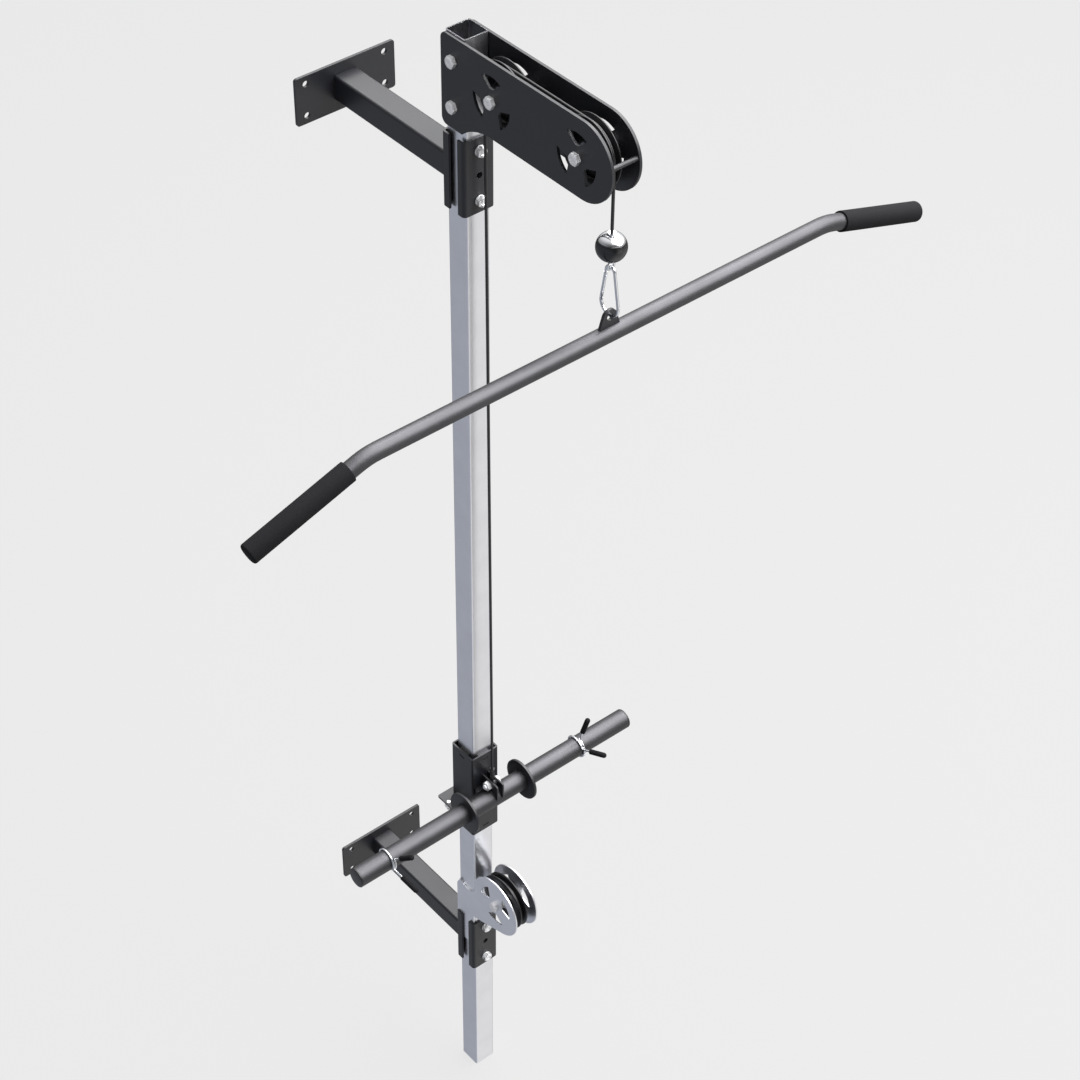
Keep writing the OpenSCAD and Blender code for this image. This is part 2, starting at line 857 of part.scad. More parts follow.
module pad_tab(gap) {
    translate([sleeve_in - eps, 0, 0]) rotate([0, 90, 0])
        linear_extrude(sleeve_wall + 2 * eps)
            round_rect(pad_slot_w + 2 * gap, pad_slot + 2 * gap, pad_slot_corner + gap);
}

module glide_pads() {
    pad_in = post_half + pad_gap;
    color("whitesmoke") at_post() at_pads() {
        translate([pad_in, -pad_w / 2, 0]) cube([sleeve_in - pad_in, pad_w, pad_h]);
        intersection() {
            translate([0, 0, pad_h / 2]) pad_tab(0);
            cube([2 * (sleeve_half - 1), sleeve_w, 2 * pad_h], center = true);
        }
    }
}

module apron_outline() {
    difference() {
        translate([0, (sleeve_half + apron_rear) / 2])
            round_rect(sleeve_w + 2 * apron_side, sleeve_half + apron_rear, 4);
        round_rect(sleeve_w, sleeve_w, sleeve_corner);
    }
}

apron_bolt_d = 8;
apron_bolt_af = 13;
apron_bolt_x = sleeve_half + apron_side * 0.7;
apron_bolt_y = sleeve_half * 0.7;

module at_apron_bolts() {
    at_post() for (side = [-1, 1])
        translate([side * apron_bolt_x, apron_bolt_y, sleeve_low + apron_up]) children();
}

module carriage_apron() {
    color("dimgray") difference() {
        at_post() translate([0, 0, sleeve_low + apron_up]) linear_extrude(apron_t) apron_outline();
        at_apron_bolts() translate([0, 0, -eps])
            cylinder(d = apron_bolt_d + 2 * fit_gap, h = apron_t + 2 * eps);
    }
}

module apron_bolts() {
    color("lightgray") at_apron_bolts() {
        mirror([0, 0, 1]) hex_prism(apron_bolt_af, apron_bolt_d);
        mirror([0, 0, 1]) cylinder(d = apron_bolt_d, h = 2 * apron_bolt_d);
        cylinder(d = apron_bolt_d, h = apron_t);
    }
}

module at_load_bar() {
    at_post() translate([0, load_bar_y, load_bar_z]) children();
}

module load_bar_tube() {
    color("slategray") at_load_bar() difference() {
        x_bar(load_bar_d, load_bar_len - 2 * cap_t);
        x_bar(load_bar_d - 2 * load_bar_wall, load_bar_len + 2 * eps);
    }
}

module load_bar_caps() {
    color("#222222") at_load_bar() for (side = [-1, 1]) rotate([0, side * 90, 0]) {
        translate([0, 0, load_bar_len / 2 - cap_t]) cylinder(d = load_bar_d, h = cap_t);
        translate([0, 0, load_bar_len / 2 - cap_t - cap_depth])
            cylinder(d = load_bar_d - 2 * load_bar_wall - 2 * fit_gap, h = cap_depth + cap_t / 2);
    }
}

module load_bar_flanges() {
    color("dimgray") at_load_bar() for (side = [-1, 1])
        translate([side * flange_gap / 2 - flange_t / 2, 0, 0]) rotate([0, 90, 0])
            ring_disc(flange_d, load_bar_d + 2 * fit_gap, flange_t);
}

module load_bar_saddle() {
    color("dimgray") difference() {
        at_post() translate([-saddle_w / 2, -sleeve_half - 2 * saddle_gap, load_bar_z - saddle_h / 2])
            cube([saddle_w, 2 * saddle_gap, saddle_h]);
        at_load_bar() x_bar(load_bar_d + 2 * fit_gap, saddle_w + 2 * eps);
    }
}

module lug_outline() {
    front = lug_y - lug_front;
    top = lug_z + lug_margin;
    chamfer = 3;
    difference() {
        polygon([
            [-sleeve_half, load_bar_z],
            [-sleeve_half, top],
            [front + chamfer, top],
            [front, top - chamfer],
            [front, load_bar_z]
        ]);
        translate([load_bar_y, load_bar_z]) circle(r = load_bar_r + fit_gap);
        translate([lug_y, lug_z]) circle(d = lug_bolt_d + 2 * drill_gap);
    }
}

// The lug plates stop at the saddle, which reaches up between them and the sleeve
module lug_plates() {
    color("dimgray") at_post() for (x0 = [-lug_gap / 2 - lug_t, lug_gap / 2])
        side_plate(x0, lug_t) difference() {
            lug_outline();
            translate([-sleeve_half - 2 * saddle_gap, load_bar_z - saddle_h / 2])
                square([2 * saddle_gap + eps, saddle_h]);
            translate([2 * load_bar_y, load_bar_z - eps]) square([-2 * load_bar_y + eps, eps + lug_foot]);
        }
}

module lug_bolt() {
    color("lightgray") at_post() translate([0, lug_y, lug_z]) mirror([1, 0, 0])
        x_bolt(lug_bolt_d, lug_af, lug_bolt_d * 0.65, lug_gap / 2 + lug_t, lug_bolt_d * 0.8);
}

module lug_nut() {
    color("lightgray") at_post() translate([0, lug_y, lug_z]) mirror([1, 0, 0])
        x_nut(lug_bolt_d, lug_af, lug_bolt_d * 0.8, lug_gap / 2 + lug_t);
}

// Rubber stop behind the post, just below the sleeve's rear wall

function stop_z() = sleeve_low - free_gap - stop_d / 2;
function stop_bolt_d() = 8;

module stop_bumper() {
    color("#222222") at_post() translate([0, 0, stop_z()]) difference() {
        y_bar(stop_d, post_half, post_half + stop_len);
        y_bar(stop_bolt_d() + 2 * fit_gap, 0, post_half + stop_len + eps);
    }
}

module stop_bolt() {
    color("lightgray") at_post() translate([0, 0, stop_z()]) {
        y_bar(stop_bolt_d(), post_half - tube_wall - stop_bolt_past, post_half + stop_len);
        translate([0, post_half + stop_len, 0]) rotate([-90, 0, 0]) hex_prism(stop_bolt_af, stop_bolt_head);
    }
}

// Ball stop, swivel and snap hook

module at_drop(z) {
    at_post() translate([0, drop_y, z]) children();
}

module ball_base() {
    color("#111111") at_drop(ball_z) difference() {
        intersection() {
            sphere(r = ball_r);
            translate([0, 0, cap_z - ball_d]) cube([2 * ball_d, 2 * ball_d, 2 * ball_d], center = true);
        }
        cylinder(d = stem_d + 2 * fit_gap, h = 2 * ball_d, center = true);
    }
}

module ball_cap() {
    color("silver") at_drop(ball_z) difference() {
        intersection() {
            sphere(r = ball_r);
            translate([0, 0, cap_z + ball_d]) cube([2 * ball_d, 2 * ball_d, 2 * ball_d], center = true);
        }
        cylinder(d = stem_d + 2 * fit_gap, h = 2 * ball_d, center = true);
    }
}

// The stem holds the cable's end above and the swivel's head in a chamber below
module ball_stem() {
    color("silver") at_drop(ball_z) difference() {
        translate([0, 0, -ball_r]) cylinder(d = stem_d, h = 2 * ball_r + stem_out);
        translate([0, 0, -ball_r - eps]) cylinder(d = shank_d + 2 * run_gap, h = ball_r);
        translate([0, 0, swivel_room - ball_r]) cylinder(d = swivel_head_d + 2 * free_gap, h = swivel_room);
    }
}

module swivel_eye() {
    shank_low = eye_z + eye_r;
    head_low = ball_z - ball_r + swivel_room + free_gap;
    color("silver") {
        at_drop(head_low) cylinder(d = swivel_head_d, h = swivel_head_t);
        at_drop(shank_low) cylinder(d = shank_d, h = head_low - shank_low);
        at_drop(eye_z) rotate([90, 0, 0]) rotate_extrude() translate([eye_r, 0]) circle(d = eye_wire);
    }
}

// The snap hook lies in the y-z plane: a narrow bend above, a wide bend below, two leaning sides

// Part of a bend about a point on the drop line, angles measured from +y towards +z
module hook_bend(z, r, from, to) {
    at_drop(z) rotate([90, 0, 90]) rotate([0, 0, from])
        rotate_extrude(angle = to - from) translate([r, 0]) circle(d = hook_wire);
}

// Starts at the top of one leaning side, with z running down along it
module hook_side_frame(side) {
    at_drop(hook_top_c) translate([0, side * hook_top_r * cos(hook_lean), hook_top_r * sin(hook_lean)])
        rotate([side * hook_lean, 0, 0]) mirror([0, 0, 1]) children();
}

gate_pin_d = 2;
gate_tongue = 2;
// How far the gate reaches above its pin
gate_nose = 3.2;
side_wire = hook_wire - run_step;

module snap_hook() {
    color("silver") difference() {
        union() {
            hook_bend(hook_top_c, hook_top_r, hook_lean, 180 - hook_lean);
            hook_bend(hook_low_c, hook_low_r, 180 - hook_lean, 360 + hook_lean);
            hook_side_frame(-1) translate([0, 0, -run_lap])
                cylinder(d = side_wire, h = hook_side + 2 * run_lap);
            hook_side_frame(1) translate([0, 0, -run_lap])
                cylinder(d = side_wire, h = gate_from - hook_wire + run_lap);
            hook_side_frame(1) translate([0, 0, gate_to + free_gap])
                cylinder(d = side_wire, h = hook_side - gate_to - free_gap + run_lap);
            hook_side_frame(1) intersection() {
                cylinder(d = side_wire - 0.2, h = gate_from + hook_wire / 2);
                cube([gate_tongue, 2 * hook_wire, 4 * gate_from], center = true);
            }
        }
        hook_side_frame(1) translate([0, 0, gate_from]) x_bar(gate_pin_d + 2 * run_gap, 2 * hook_wire);
    }
}

// The gate carries its own pin across its fork, over the hook's flat tongue
module snap_hook_gate() {
    color("silver") hook_side_frame(1) {
        difference() {
            translate([0, 0, gate_from - gate_nose])
                cylinder(d = side_wire, h = gate_to - gate_from + gate_nose);
            translate([0, 0, gate_from - hook_wire])
                cube([gate_tongue + 2 * free_gap, 2 * hook_wire, 4 * hook_wire], center = true);
        }
        translate([0, 0, gate_from]) x_bar(gate_pin_d, hook_wire);
    }
}

// Pulldown bar

// Starts where a bent end begins, with x running outwards along it
module at_bar_end(side) {
    at_drop(bar_z) rotate([0, 0, side < 0 ? 180 : 0])
        translate([bar_mid_half, 0, -bend_r]) rotate([0, bend_angle, 0]) translate([0, 0, bend_r]) children();
}

// The bar's middle, bends and ends for one diameter, its ends reaching past the bar's by the given length
module bar_run(d, past) {
    at_drop(bar_z) x_bar(d, 2 * bar_mid_half);
    for (side = [-1, 1]) {
        at_drop(bar_z) rotate([0, 0, side < 0 ? 180 : 0])
            translate([bar_mid_half, 0, -bend_r]) rotate([90, 0, 0]) rotate([0, 0, 90])
                rotate_extrude(angle = -bend_angle) translate([bend_r, 0]) circle(d = d);
        at_bar_end(side) translate([-run_lap, 0, 0]) rotate([0, 90, 0])
            cylinder(d = d - run_step, h = bar_end_len + run_lap + past);
    }
}

module pulldown_bar_rod() {
    color("slategray") difference() {
        bar_run(bar_d, 0);
        bar_run(bar_d - 2 * bar_wall, eps);
    }
}

module bar_lug_outline() {
    top_c = bar_hole_z - bar_z;
    difference() {
        union() {
            translate([0, top_c]) circle(r = bar_lug_r);
            polygon([
                [-bar_lug_w / 2, 0],
                [bar_lug_w / 2, 0],
                [bar_lug_w / 2, bar_r],
                [bar_lug_r * cos(10), top_c + bar_lug_r * sin(10)],
                [-bar_lug_r * cos(10), top_c + bar_lug_r * sin(10)],
                [-bar_lug_w / 2, bar_r]
            ]);
        }
        translate([0, top_c]) circle(d = bar_lug_hole);
    }
}

module pulldown_bar_lug() {
    color("#222222") at_drop(bar_z) difference() {
        translate([0, bar_lug_t / 2, 0]) rotate([90, 0, 0]) linear_extrude(bar_lug_t) bar_lug_outline();
        x_bar(bar_d + 2 * fit_gap, bar_lug_w + 2 * eps);
    }
}

module grip(side) {
    color("#1a1a1a") at_bar_end(side) rotate([0, 90, 0]) difference() {
        translate([0, 0, bar_end_len + grip_end - grip_len]) {
            cylinder(d = grip_d, h = grip_len - grip_chamfer);
            translate([0, 0, grip_len - grip_chamfer])
                cylinder(d1 = grip_d, d2 = grip_d - 2 * grip_chamfer, h = grip_chamfer);
        }
        translate([0, 0, bar_end_len - 2 * grip_len]) cylinder(d = bar_d + 2 * fit_gap, h = 2 * grip_len);
    }
}

module grip_left() {
    grip(-1);
}

module grip_right() {
    grip(1);
}

// Spring collars: one unbroken wire, wound about X, whose two arms lean along the load bar

coil_r = load_bar_r + collar_gap + collar_wire / 2;
collar_left_x = collar_left_in - load_bar_len / 2;
collar_right_x = load_bar_len / 2 - collar_right_in;
coil_steps = 24;
wire_sides = 6;
arm_rings = 4;
// Angle by which the arms spread, and how far the wire enters a grip
arm_splay = 12;
grip_bite = 12;

function coil_point(a) = [-collar_pitch * a / 360, coil_r * cos(a), coil_r * sin(a)];
function outward(a) = [0, cos(a), sin(a)];
function along_coil(a, way) = way * [0, -sin(a), cos(a)];
// The wire turns outwards at each end of the coil, away from the load bar
function bend_point(a, way, turn) =
    coil_point(a) + collar_bend_r * (sin(turn) * along_coil(a, way) + (1 - cos(turn)) * outward(a));
// An arm then leans towards +x
function arm_heading(a, way) = cos(collar_lean) * outward(a + way * arm_splay) + [sin(collar_lean), 0, 0];
function arm_point(a, way, reach) = bend_point(a, way, 90) + reach * arm_heading(a, way);
function end_points(a, way) = concat(
    [for (i = [1:arm_rings]) bend_point(a, way, i * 90 / arm_rings)],
    [for (i = [1:arm_rings]) arm_point(a, way, (i / arm_rings) * (collar_arm + grip_bite))]
);
function reversed(list) = [for (i = [len(list) - 1:-1:0]) list[i]];
coil_count = round(collar_turns * coil_steps);
coil_last = coil_count * 360 / coil_steps;
collar_points = concat(
    reversed(end_points(0, -1)),
    [for (i = [0:coil_count]) coil_point(i * 360 / coil_steps)],
    end_points(coil_last, 1)
);

// Least gap between parts of the wire that lie half a turn or more apart along it
far_steps = coil_steps / 2;
collar_self_gap = min([
    for (i = [0:len(collar_points) - 1 - far_steps], j = [i + far_steps:len(collar_points) - 1])
        norm(collar_points[i] - collar_points[j])
]) - collar_wire;
echo("Least gap of a collar's wire to itself, mm:", collar_self_gap);

function unit(v) = v / norm(v);
function point_heading(p, i) = unit(p[min(i + 1, len(p) - 1)] - p[max(i - 1, 0)]);
function wire_ring(p, i) =
    let (t = point_heading(p, i), u = unit([1, 0, 0] - t[0] * t), v = cross(t, u))
    [for (k = [0:wire_sides - 1])
        p[i] + collar_wire / 2 * (cos(k * 360 / wire_sides) * u + sin(k * 360 / wire_sides) * v)];

module swept_wire(p) {
    last = (len(p) - 1) * wire_sides;
    polyhedron(
        points = [for (i = [0:len(p) - 1]) each wire_ring(p, i)],
        faces = concat(
            [for (k = [1:wire_sides - 2]) [0, k, k + 1]],
            [for (k = [1:wire_sides - 2]) [last, last + k + 1, last + k]],
            [for (i = [0:len(p) - 2], k = [0:wire_sides - 1])
                [i * wire_sides + k, (i + 1) * wire_sides + k, (i + 1) * wire_sides + (k + 1) % wire_sides]],
            [for (i = [0:len(p) - 2], k = [0:wire_sides - 1])
                [i * wire_sides + k, (i + 1) * wire_sides + (k + 1) % wire_sides, i * wire_sides + (k + 1) % wire_sides]]
        )
    );
}

module at_collar(x, turn) {
    at_load_bar() translate([x + collar_pitch * collar_turns / 2, 0, 0])
        rotate([turn, 0, 0]) children();
}

// A grip's frame: its z runs outwards along the arm
module at_arm_end(a, way) {
    h = arm_heading(a, way);
    translate(arm_point(a, way, collar_arm)) rotate([0, acos(h[2]), atan2(h[1], h[0])]) children();
}

module collar_wire_piece(x, turn) {
    color("silver") at_collar(x, turn) swept_wire(collar_points);
}

module collar_grips_piece(x, turn) {
    color("#222222") at_collar(x, turn) for (end = [[0, -1], [coil_last, 1]])
        at_arm_end(end[0], end[1]) difference() {
            union() {
                cylinder(d = collar_grip_d, h = collar_grip_len - collar_grip_d / 2);
                translate([0, 0, collar_grip_len - collar_grip_d / 2]) sphere(d = collar_grip_d);
            }
            translate([0, 0, -eps]) cylinder(d = collar_wire + 2 * fit_gap, h = grip_bite + 2 * eps);
        }
}

module collar_left_wire() {
    collar_wire_piece(collar_left_x, collar_turn_left);
}

module collar_left_grips() {
    collar_grips_piece(collar_left_x, collar_turn_left);
}

module collar_right_wire() {
    collar_wire_piece(collar_right_x, collar_turn_right);
}

module collar_right_grips() {
    collar_grips_piece(collar_right_x, collar_turn_right);
}

post_tube();
upper_wall_plate();
lower_wall_plate();
upper_arm_tube();
lower_arm_tube();
upper_rear_channel();
lower_rear_channel();
upper_front_channel();
lower_front_channel();
clamp_bolts();
clamp_washers();
clamp_nuts();
head_plate_left();
head_plate_right();
head_bolts();
head_nuts();
axle_bolts();
axle_nuts();
axle_spacers();
cable_guard_rod();
low_plate_left();
low_plate_right();
stop_bumper();
stop_bolt();
cable_over_pulleys();
cable_rise();
cable_drop();
head_pulley_rear();
head_bearing_rear();
head_pulley_front();
head_bearing_front();
low_pulley_wheel();
low_pulley_bearing();
carriage_sleeve();
glide_pads();
carriage_apron();
apron_bolts();
load_bar_tube();
load_bar_caps();
load_bar_flanges();
load_bar_saddle();
lug_plates();
lug_bolt();
lug_nut();
cable_eye();
cable_ferrule();
ball_base();
ball_cap();
ball_stem();
swivel_eye();
snap_hook();
snap_hook_gate();
pulldown_bar_rod();
pulldown_bar_lug();
grip_left();
grip_right();
collar_left_wire();
collar_left_grips();
collar_right_wire();
collar_right_grips();
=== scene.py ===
# %% [markdown]
# # A wall-mounted pulldown tower
#
# The real object is a gym station for one wall: a bright square post on two black wall brackets,
# a pulley head, a low pulley, a carriage with a bar for weight plates, and a coated cable that
# carries a pulldown bar. The exact solids come from CAD in metres, with the wall at y = 0 and the
# tower towards -Y. This scene keeps them as its skeleton, rounds the edges that a press, a saw or
# a mould leaves rounded, and gives every surface its finish.

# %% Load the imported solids
import bpy
import bmesh
import json
from math import acos, asin, atan2, cos, hypot, pi, radians, sin, sqrt
from mathutils import Matrix, Vector


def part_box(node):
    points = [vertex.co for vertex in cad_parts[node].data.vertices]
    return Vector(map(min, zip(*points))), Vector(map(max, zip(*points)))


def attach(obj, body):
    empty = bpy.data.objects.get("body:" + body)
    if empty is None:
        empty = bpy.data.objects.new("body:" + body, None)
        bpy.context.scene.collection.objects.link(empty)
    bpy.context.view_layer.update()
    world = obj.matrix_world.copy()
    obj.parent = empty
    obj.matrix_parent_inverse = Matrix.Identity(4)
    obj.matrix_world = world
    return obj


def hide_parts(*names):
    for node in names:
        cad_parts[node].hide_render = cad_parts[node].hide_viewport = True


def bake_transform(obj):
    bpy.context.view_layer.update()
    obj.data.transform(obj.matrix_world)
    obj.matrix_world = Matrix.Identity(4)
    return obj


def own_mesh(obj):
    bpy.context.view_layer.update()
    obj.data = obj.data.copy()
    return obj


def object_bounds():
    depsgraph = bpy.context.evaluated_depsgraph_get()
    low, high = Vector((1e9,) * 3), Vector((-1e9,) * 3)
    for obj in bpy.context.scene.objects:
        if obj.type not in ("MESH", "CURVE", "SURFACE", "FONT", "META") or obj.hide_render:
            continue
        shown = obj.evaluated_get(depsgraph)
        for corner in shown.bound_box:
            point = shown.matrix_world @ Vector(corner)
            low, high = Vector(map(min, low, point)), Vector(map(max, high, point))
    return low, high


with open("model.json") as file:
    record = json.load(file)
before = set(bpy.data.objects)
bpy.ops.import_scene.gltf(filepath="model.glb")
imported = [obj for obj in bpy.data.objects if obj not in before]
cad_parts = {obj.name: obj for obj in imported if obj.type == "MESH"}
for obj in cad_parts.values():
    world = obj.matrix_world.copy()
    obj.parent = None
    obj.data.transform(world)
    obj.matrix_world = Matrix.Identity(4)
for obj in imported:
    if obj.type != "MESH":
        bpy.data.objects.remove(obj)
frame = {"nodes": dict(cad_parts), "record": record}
cad_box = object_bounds()

# %% [markdown]
# The camera stands where the photographer's stood: to the left, in front and above, with a long
# lens. It could be aimed at the tower with a Track To constraint, but a camera that is solved from
# a picture comes as three directions, right, up and back, so they are written as they are. The
# small shift moves the picture's centre without tilting the uprights.

# %% Camera
RIGHT = Vector((0.7833, -0.6215, -0.0123))
UP = Vector((0.4239, 0.5196, 0.7418))
BACK = Vector((-0.4547, -0.5863, 0.6705))
EYE = Vector((-1.9871, -2.8303, 2.1108))
lens = bpy.data.cameras.new("photo_camera")
lens.lens = 85.26
lens.sensor_width = 36.0
lens.shift_x = 0.0763
lens.shift_y = 0.0208
lens.clip_end = 100.0
camera = bpy.data.objects.new("photo_camera", lens)
camera.matrix_world = Matrix((
    (RIGHT.x, UP.x, BACK.x, EYE.x),
    (RIGHT.y, UP.y, BACK.y, EYE.y),
    (RIGHT.z, UP.z, BACK.z, EYE.z),
    (0.0, 0.0, 0.0, 1.0),
))
bpy.context.scene.collection.objects.link(camera)
bpy.context.scene.camera = camera
bpy.context.scene.view_settings.view_transform = "Standard"
print("Camera height above the post's foot, m:", round(EYE.z - cad_box[0].z, 3))

# %% [markdown]
# Every colour below is written as the sRGB hex value that a colour picker shows, and one function
# turns it into the linear numbers that the shaders need. One small function adds a node with its
# settings, its socket values and its links, so that each material reads as a short recipe. Six of
# the finishes have one grain each, which carries their colour, gloss and relief together, so they
# share the recipe grained().

# %% Colour and node helpers
def linear(hex_colour):
    """An sRGB colour such as '#2b2c30' as linear red, green, blue and alpha."""
    channels = [int(hex_colour[i:i + 2], 16) / 255 for i in (1, 3, 5)]
    return [c / 12.92 if c <= 0.04045 else ((c + 0.055) / 1.055) ** 2.4 for c in channels] + [1.0]


def add(tree, kind, sockets=None, **settings):
    """Adds one node. A socket's value is a number, a colour, or another node's output to link."""
    node = tree.nodes.new(kind)
    for name, value in settings.items():
        setattr(node, name, value)
    for name, value in (sockets or {}).items():
        if isinstance(value, bpy.types.NodeSocket):
            tree.links.new(value, node.inputs[name])
        else:
            node.inputs[name].default_value = value
    return node


def new_material(name):
    """A new material and its empty node tree."""
    material = bpy.data.materials.new(name)
    material.use_nodes = True
    material.node_tree.nodes.clear()
    return material, material.node_tree


def grained(name, grain_mm, detail, colours, rough, relief, shader_values):
    """A finish whose colour, roughness and relief (metres, strength) follow one grain."""
    material, tree = new_material(name)
    where = add(tree, "ShaderNodeTexCoord")
    grain = add(tree, "ShaderNodeTexNoise", {"Vector": where.outputs["Object"],
                                             "Scale": 1000 / grain_mm, "Detail": detail})
    shade = add(tree, "ShaderNodeMix", {0: grain.outputs["Fac"], 6: linear(colours[0]),
                                        7: linear(colours[1])}, data_type="RGBA")
    gloss = add(tree, "ShaderNodeMapRange", {"Value": grain.outputs["Fac"], "To Min": rough[0],
                                             "To Max": rough[1]})
    values = {"Base Color": shade.outputs[2], "Roughness": gloss.outputs["Result"], **shader_values}
    if relief:
        bump = add(tree, "ShaderNodeBump", {"Height": grain.outputs["Fac"], "Distance": relief[0],
                                            "Strength": relief[1]})
        values["Normal"] = bump.outputs["Normal"]
    shader = add(tree, "ShaderNodeBsdfPrincipled", values)
    add(tree, "ShaderNodeOutputMaterial", {"Surface": shader.outputs["BSDF"]})
    print("made", name)
    return material


print("Black coat, linear:", [round(c, 4) for c in linear("#101115")])

# %% [markdown]
# The brackets, the head plates and the carriage are steel with a satin black powder coat. The
# powder melts into a film that stays very slightly uneven, like the skin of an orange. Its cells
# are about 0.8 mm and are drawn at 1.6 mm so that they still show from the camera's distance.
# The film is a plastic, so it isn't metallic. It gives the eye deep black sides and tops that
# mirror the lamp as light grey. A picture of such a coat would have to be wrapped round each
# piece. Noise that is read from a point's own place needs no wrapping and keeps its size in
# millimetres on every piece, so this finish and all the others are made from it.

# %% Powder-coated steel
powder, tree = new_material("powder_coated_steel_satin")
where = add(tree, "ShaderNodeTexCoord")
cells = add(tree, "ShaderNodeTexNoise", {"Vector": where.outputs["Object"], "Scale": 1000 / 1.6})
clouds = add(tree, "ShaderNodeTexNoise", {"Vector": where.outputs["Object"], "Scale": 1000 / 70})
shade = add(tree, "ShaderNodeMix", {
    0: clouds.outputs["Fac"], 6: linear("#101115"), 7: linear("#1a1b20")}, data_type="RGBA")
gloss = add(tree, "ShaderNodeMapRange", {"Value": clouds.outputs["Fac"], "To Min": 0.34, "To Max": 0.48})
relief = add(tree, "ShaderNodeBump", {
    "Height": cells.outputs["Fac"], "Distance": 0.00003, "Strength": 0.25})
shader = add(tree, "ShaderNodeBsdfPrincipled", {
    "Base Color": shade.outputs[2], "Roughness": gloss.outputs["Result"],
    "Normal": relief.outputs["Normal"], "Metallic": 0.0, "IOR": 1.5})
add(tree, "ShaderNodeOutputMaterial", {"Surface": shader.outputs["BSDF"]})
print("made", powder.name)

# %% [markdown]
# The guide post and the low side plates are drawn steel with a bright zinc plate. Drawing leaves
# hair lines along the tube, a few tenths of a millimetre apart, drawn here at 0.9 mm. The bath
# leaves soft clouds a few centimetres across. A plated metal reflects in its own colour, which
# here is a cool light grey.

# %% Bright plated steel
plated, tree = new_material("zinc_plated_steel_drawn")
where = add(tree, "ShaderNodeTexCoord")
along = add(tree, "ShaderNodeMapping", {"Vector": where.outputs["Object"],
                                        "Scale": (1000 / 0.9, 1000 / 0.9, 1000 / 110)})
hair = add(tree, "ShaderNodeTexNoise", {"Vector": along.outputs["Vector"], "Scale": 1.0, "Detail": 3.0})
clouds = add(tree, "ShaderNodeTexNoise", {"Vector": where.outputs["Object"], "Scale": 1000 / 38})
shade = add(tree, "ShaderNodeMix", {
    0: clouds.outputs["Fac"], 6: linear("#e0e1e7"), 7: linear("#eeeff3")}, data_type="RGBA")
gloss = add(tree, "ShaderNodeMapRange", {"Value": hair.outputs["Fac"], "To Min": 0.24, "To Max": 0.4})
relief = add(tree, "ShaderNodeBump", {
    "Height": hair.outputs["Fac"], "Distance": 0.00001, "Strength": 0.12})
shader = add(tree, "ShaderNodeBsdfPrincipled", {
    "Base Color": shade.outputs[2], "Roughness": gloss.outputs["Result"],
    "Normal": relief.outputs["Normal"], "Metallic": 1.0})
add(tree, "ShaderNodeOutputMaterial", {"Surface": shader.outputs["BSDF"]})
print("made", plated.name)

# %% [markdown]
# The long tube's inner walls get a duller, darker grey metal than the plate outside. The darkness
# is painted shade: it stands for the shade that falls inside the bore. Lighter and darker patches a
# few millimetres across break it up. It makes the open top end a grey box and not a black hole.

# %% Painted shade in the bore
# Darker grey for the bore's walls: painted shade for the inside of the tube.
painted_bore_shade = grained("steel_with_painted_bore_shade", 6, 4.0, ("#77787c", "#97989c"), (0.26, 0.42),
                (0.00004, 0.3), {"Metallic": 1.0})

# %% [markdown]
# Bolts, nuts and washers are zinc plated in a barrel, where they tumble against each other. A last
# bath leaves a thin milky film, which scatters light like paint, so the surface is only partly
# metallic. Small dull spots, about 2 mm across, break its shine. The bolts stand out as the
# lightest points on the black plates from every side.

# %% Barrel-plated fasteners
fastener = grained("zinc_plated_fastener_steel", 2.2, 4.0, ("#e4e5e8", "#f6f6f8"), (0.22, 0.4),
                   (0.00002, 0.2), {"Metallic": 0.5})

# %% [markdown]
# The pulldown bar and the load bar are steel with a dark gun-metal plate that was brushed
# lengthwise, so a lamp draws a broad soft band on them and the rest stays dark. The brush lines
# are finer than a pixel and are drawn 1.2 mm apart.

# %% Gun-metal bars
gunmetal, tree = new_material("gun_metal_plated_steel_brushed")
where = add(tree, "ShaderNodeTexCoord")
along = add(tree, "ShaderNodeMapping", {"Vector": where.outputs["Object"],
                                        "Scale": (1000 / 108, 1000 / 1.2, 1000 / 1.2)})
brush = add(tree, "ShaderNodeTexNoise", {"Vector": along.outputs["Vector"], "Scale": 1.0, "Detail": 3.0})
clouds = add(tree, "ShaderNodeTexNoise", {"Vector": where.outputs["Object"], "Scale": 1000 / 55})
shade = add(tree, "ShaderNodeMix", {
    0: clouds.outputs["Fac"], 6: linear("#48484a"), 7: linear("#555558")}, data_type="RGBA")
gloss = add(tree, "ShaderNodeMapRange", {"Value": brush.outputs["Fac"], "To Min": 0.42, "To Max": 0.58})
relief = add(tree, "ShaderNodeBump", {
    "Height": brush.outputs["Fac"], "Distance": 0.00001, "Strength": 0.15})
shader = add(tree, "ShaderNodeBsdfPrincipled", {
    "Base Color": shade.outputs[2], "Roughness": gloss.outputs["Result"],
    "Normal": relief.outputs["Normal"], "Metallic": 1.0})
add(tree, "ShaderNodeOutputMaterial", {"Surface": shader.outputs["BSDF"]})
print("made", gunmetal.name)

# %% [markdown]
# The snap hook, the collars' wire and the ball's cap are polished and chrome plated: a nearly
# white metal with a mirror finish. Handling leaves a faint haze in patches of about 9 mm, and it
# goes into the roughness alone, because a bump would spoil the mirror.

# %% Polished chrome
chrome = grained("chrome_plate_polished", 9, 3.0, ("#dcdee2", "#ecedf0"), (0.06, 0.2),
                 None, {"Metallic": 1.0})

# %% [markdown]
# The pulleys are moulded in black glass-filled nylon. The mould gives a satin skin, and the fibres
# near the surface break its gloss into small patches of about 1 mm. Their rims catch the lamp as
# thin grey lines.

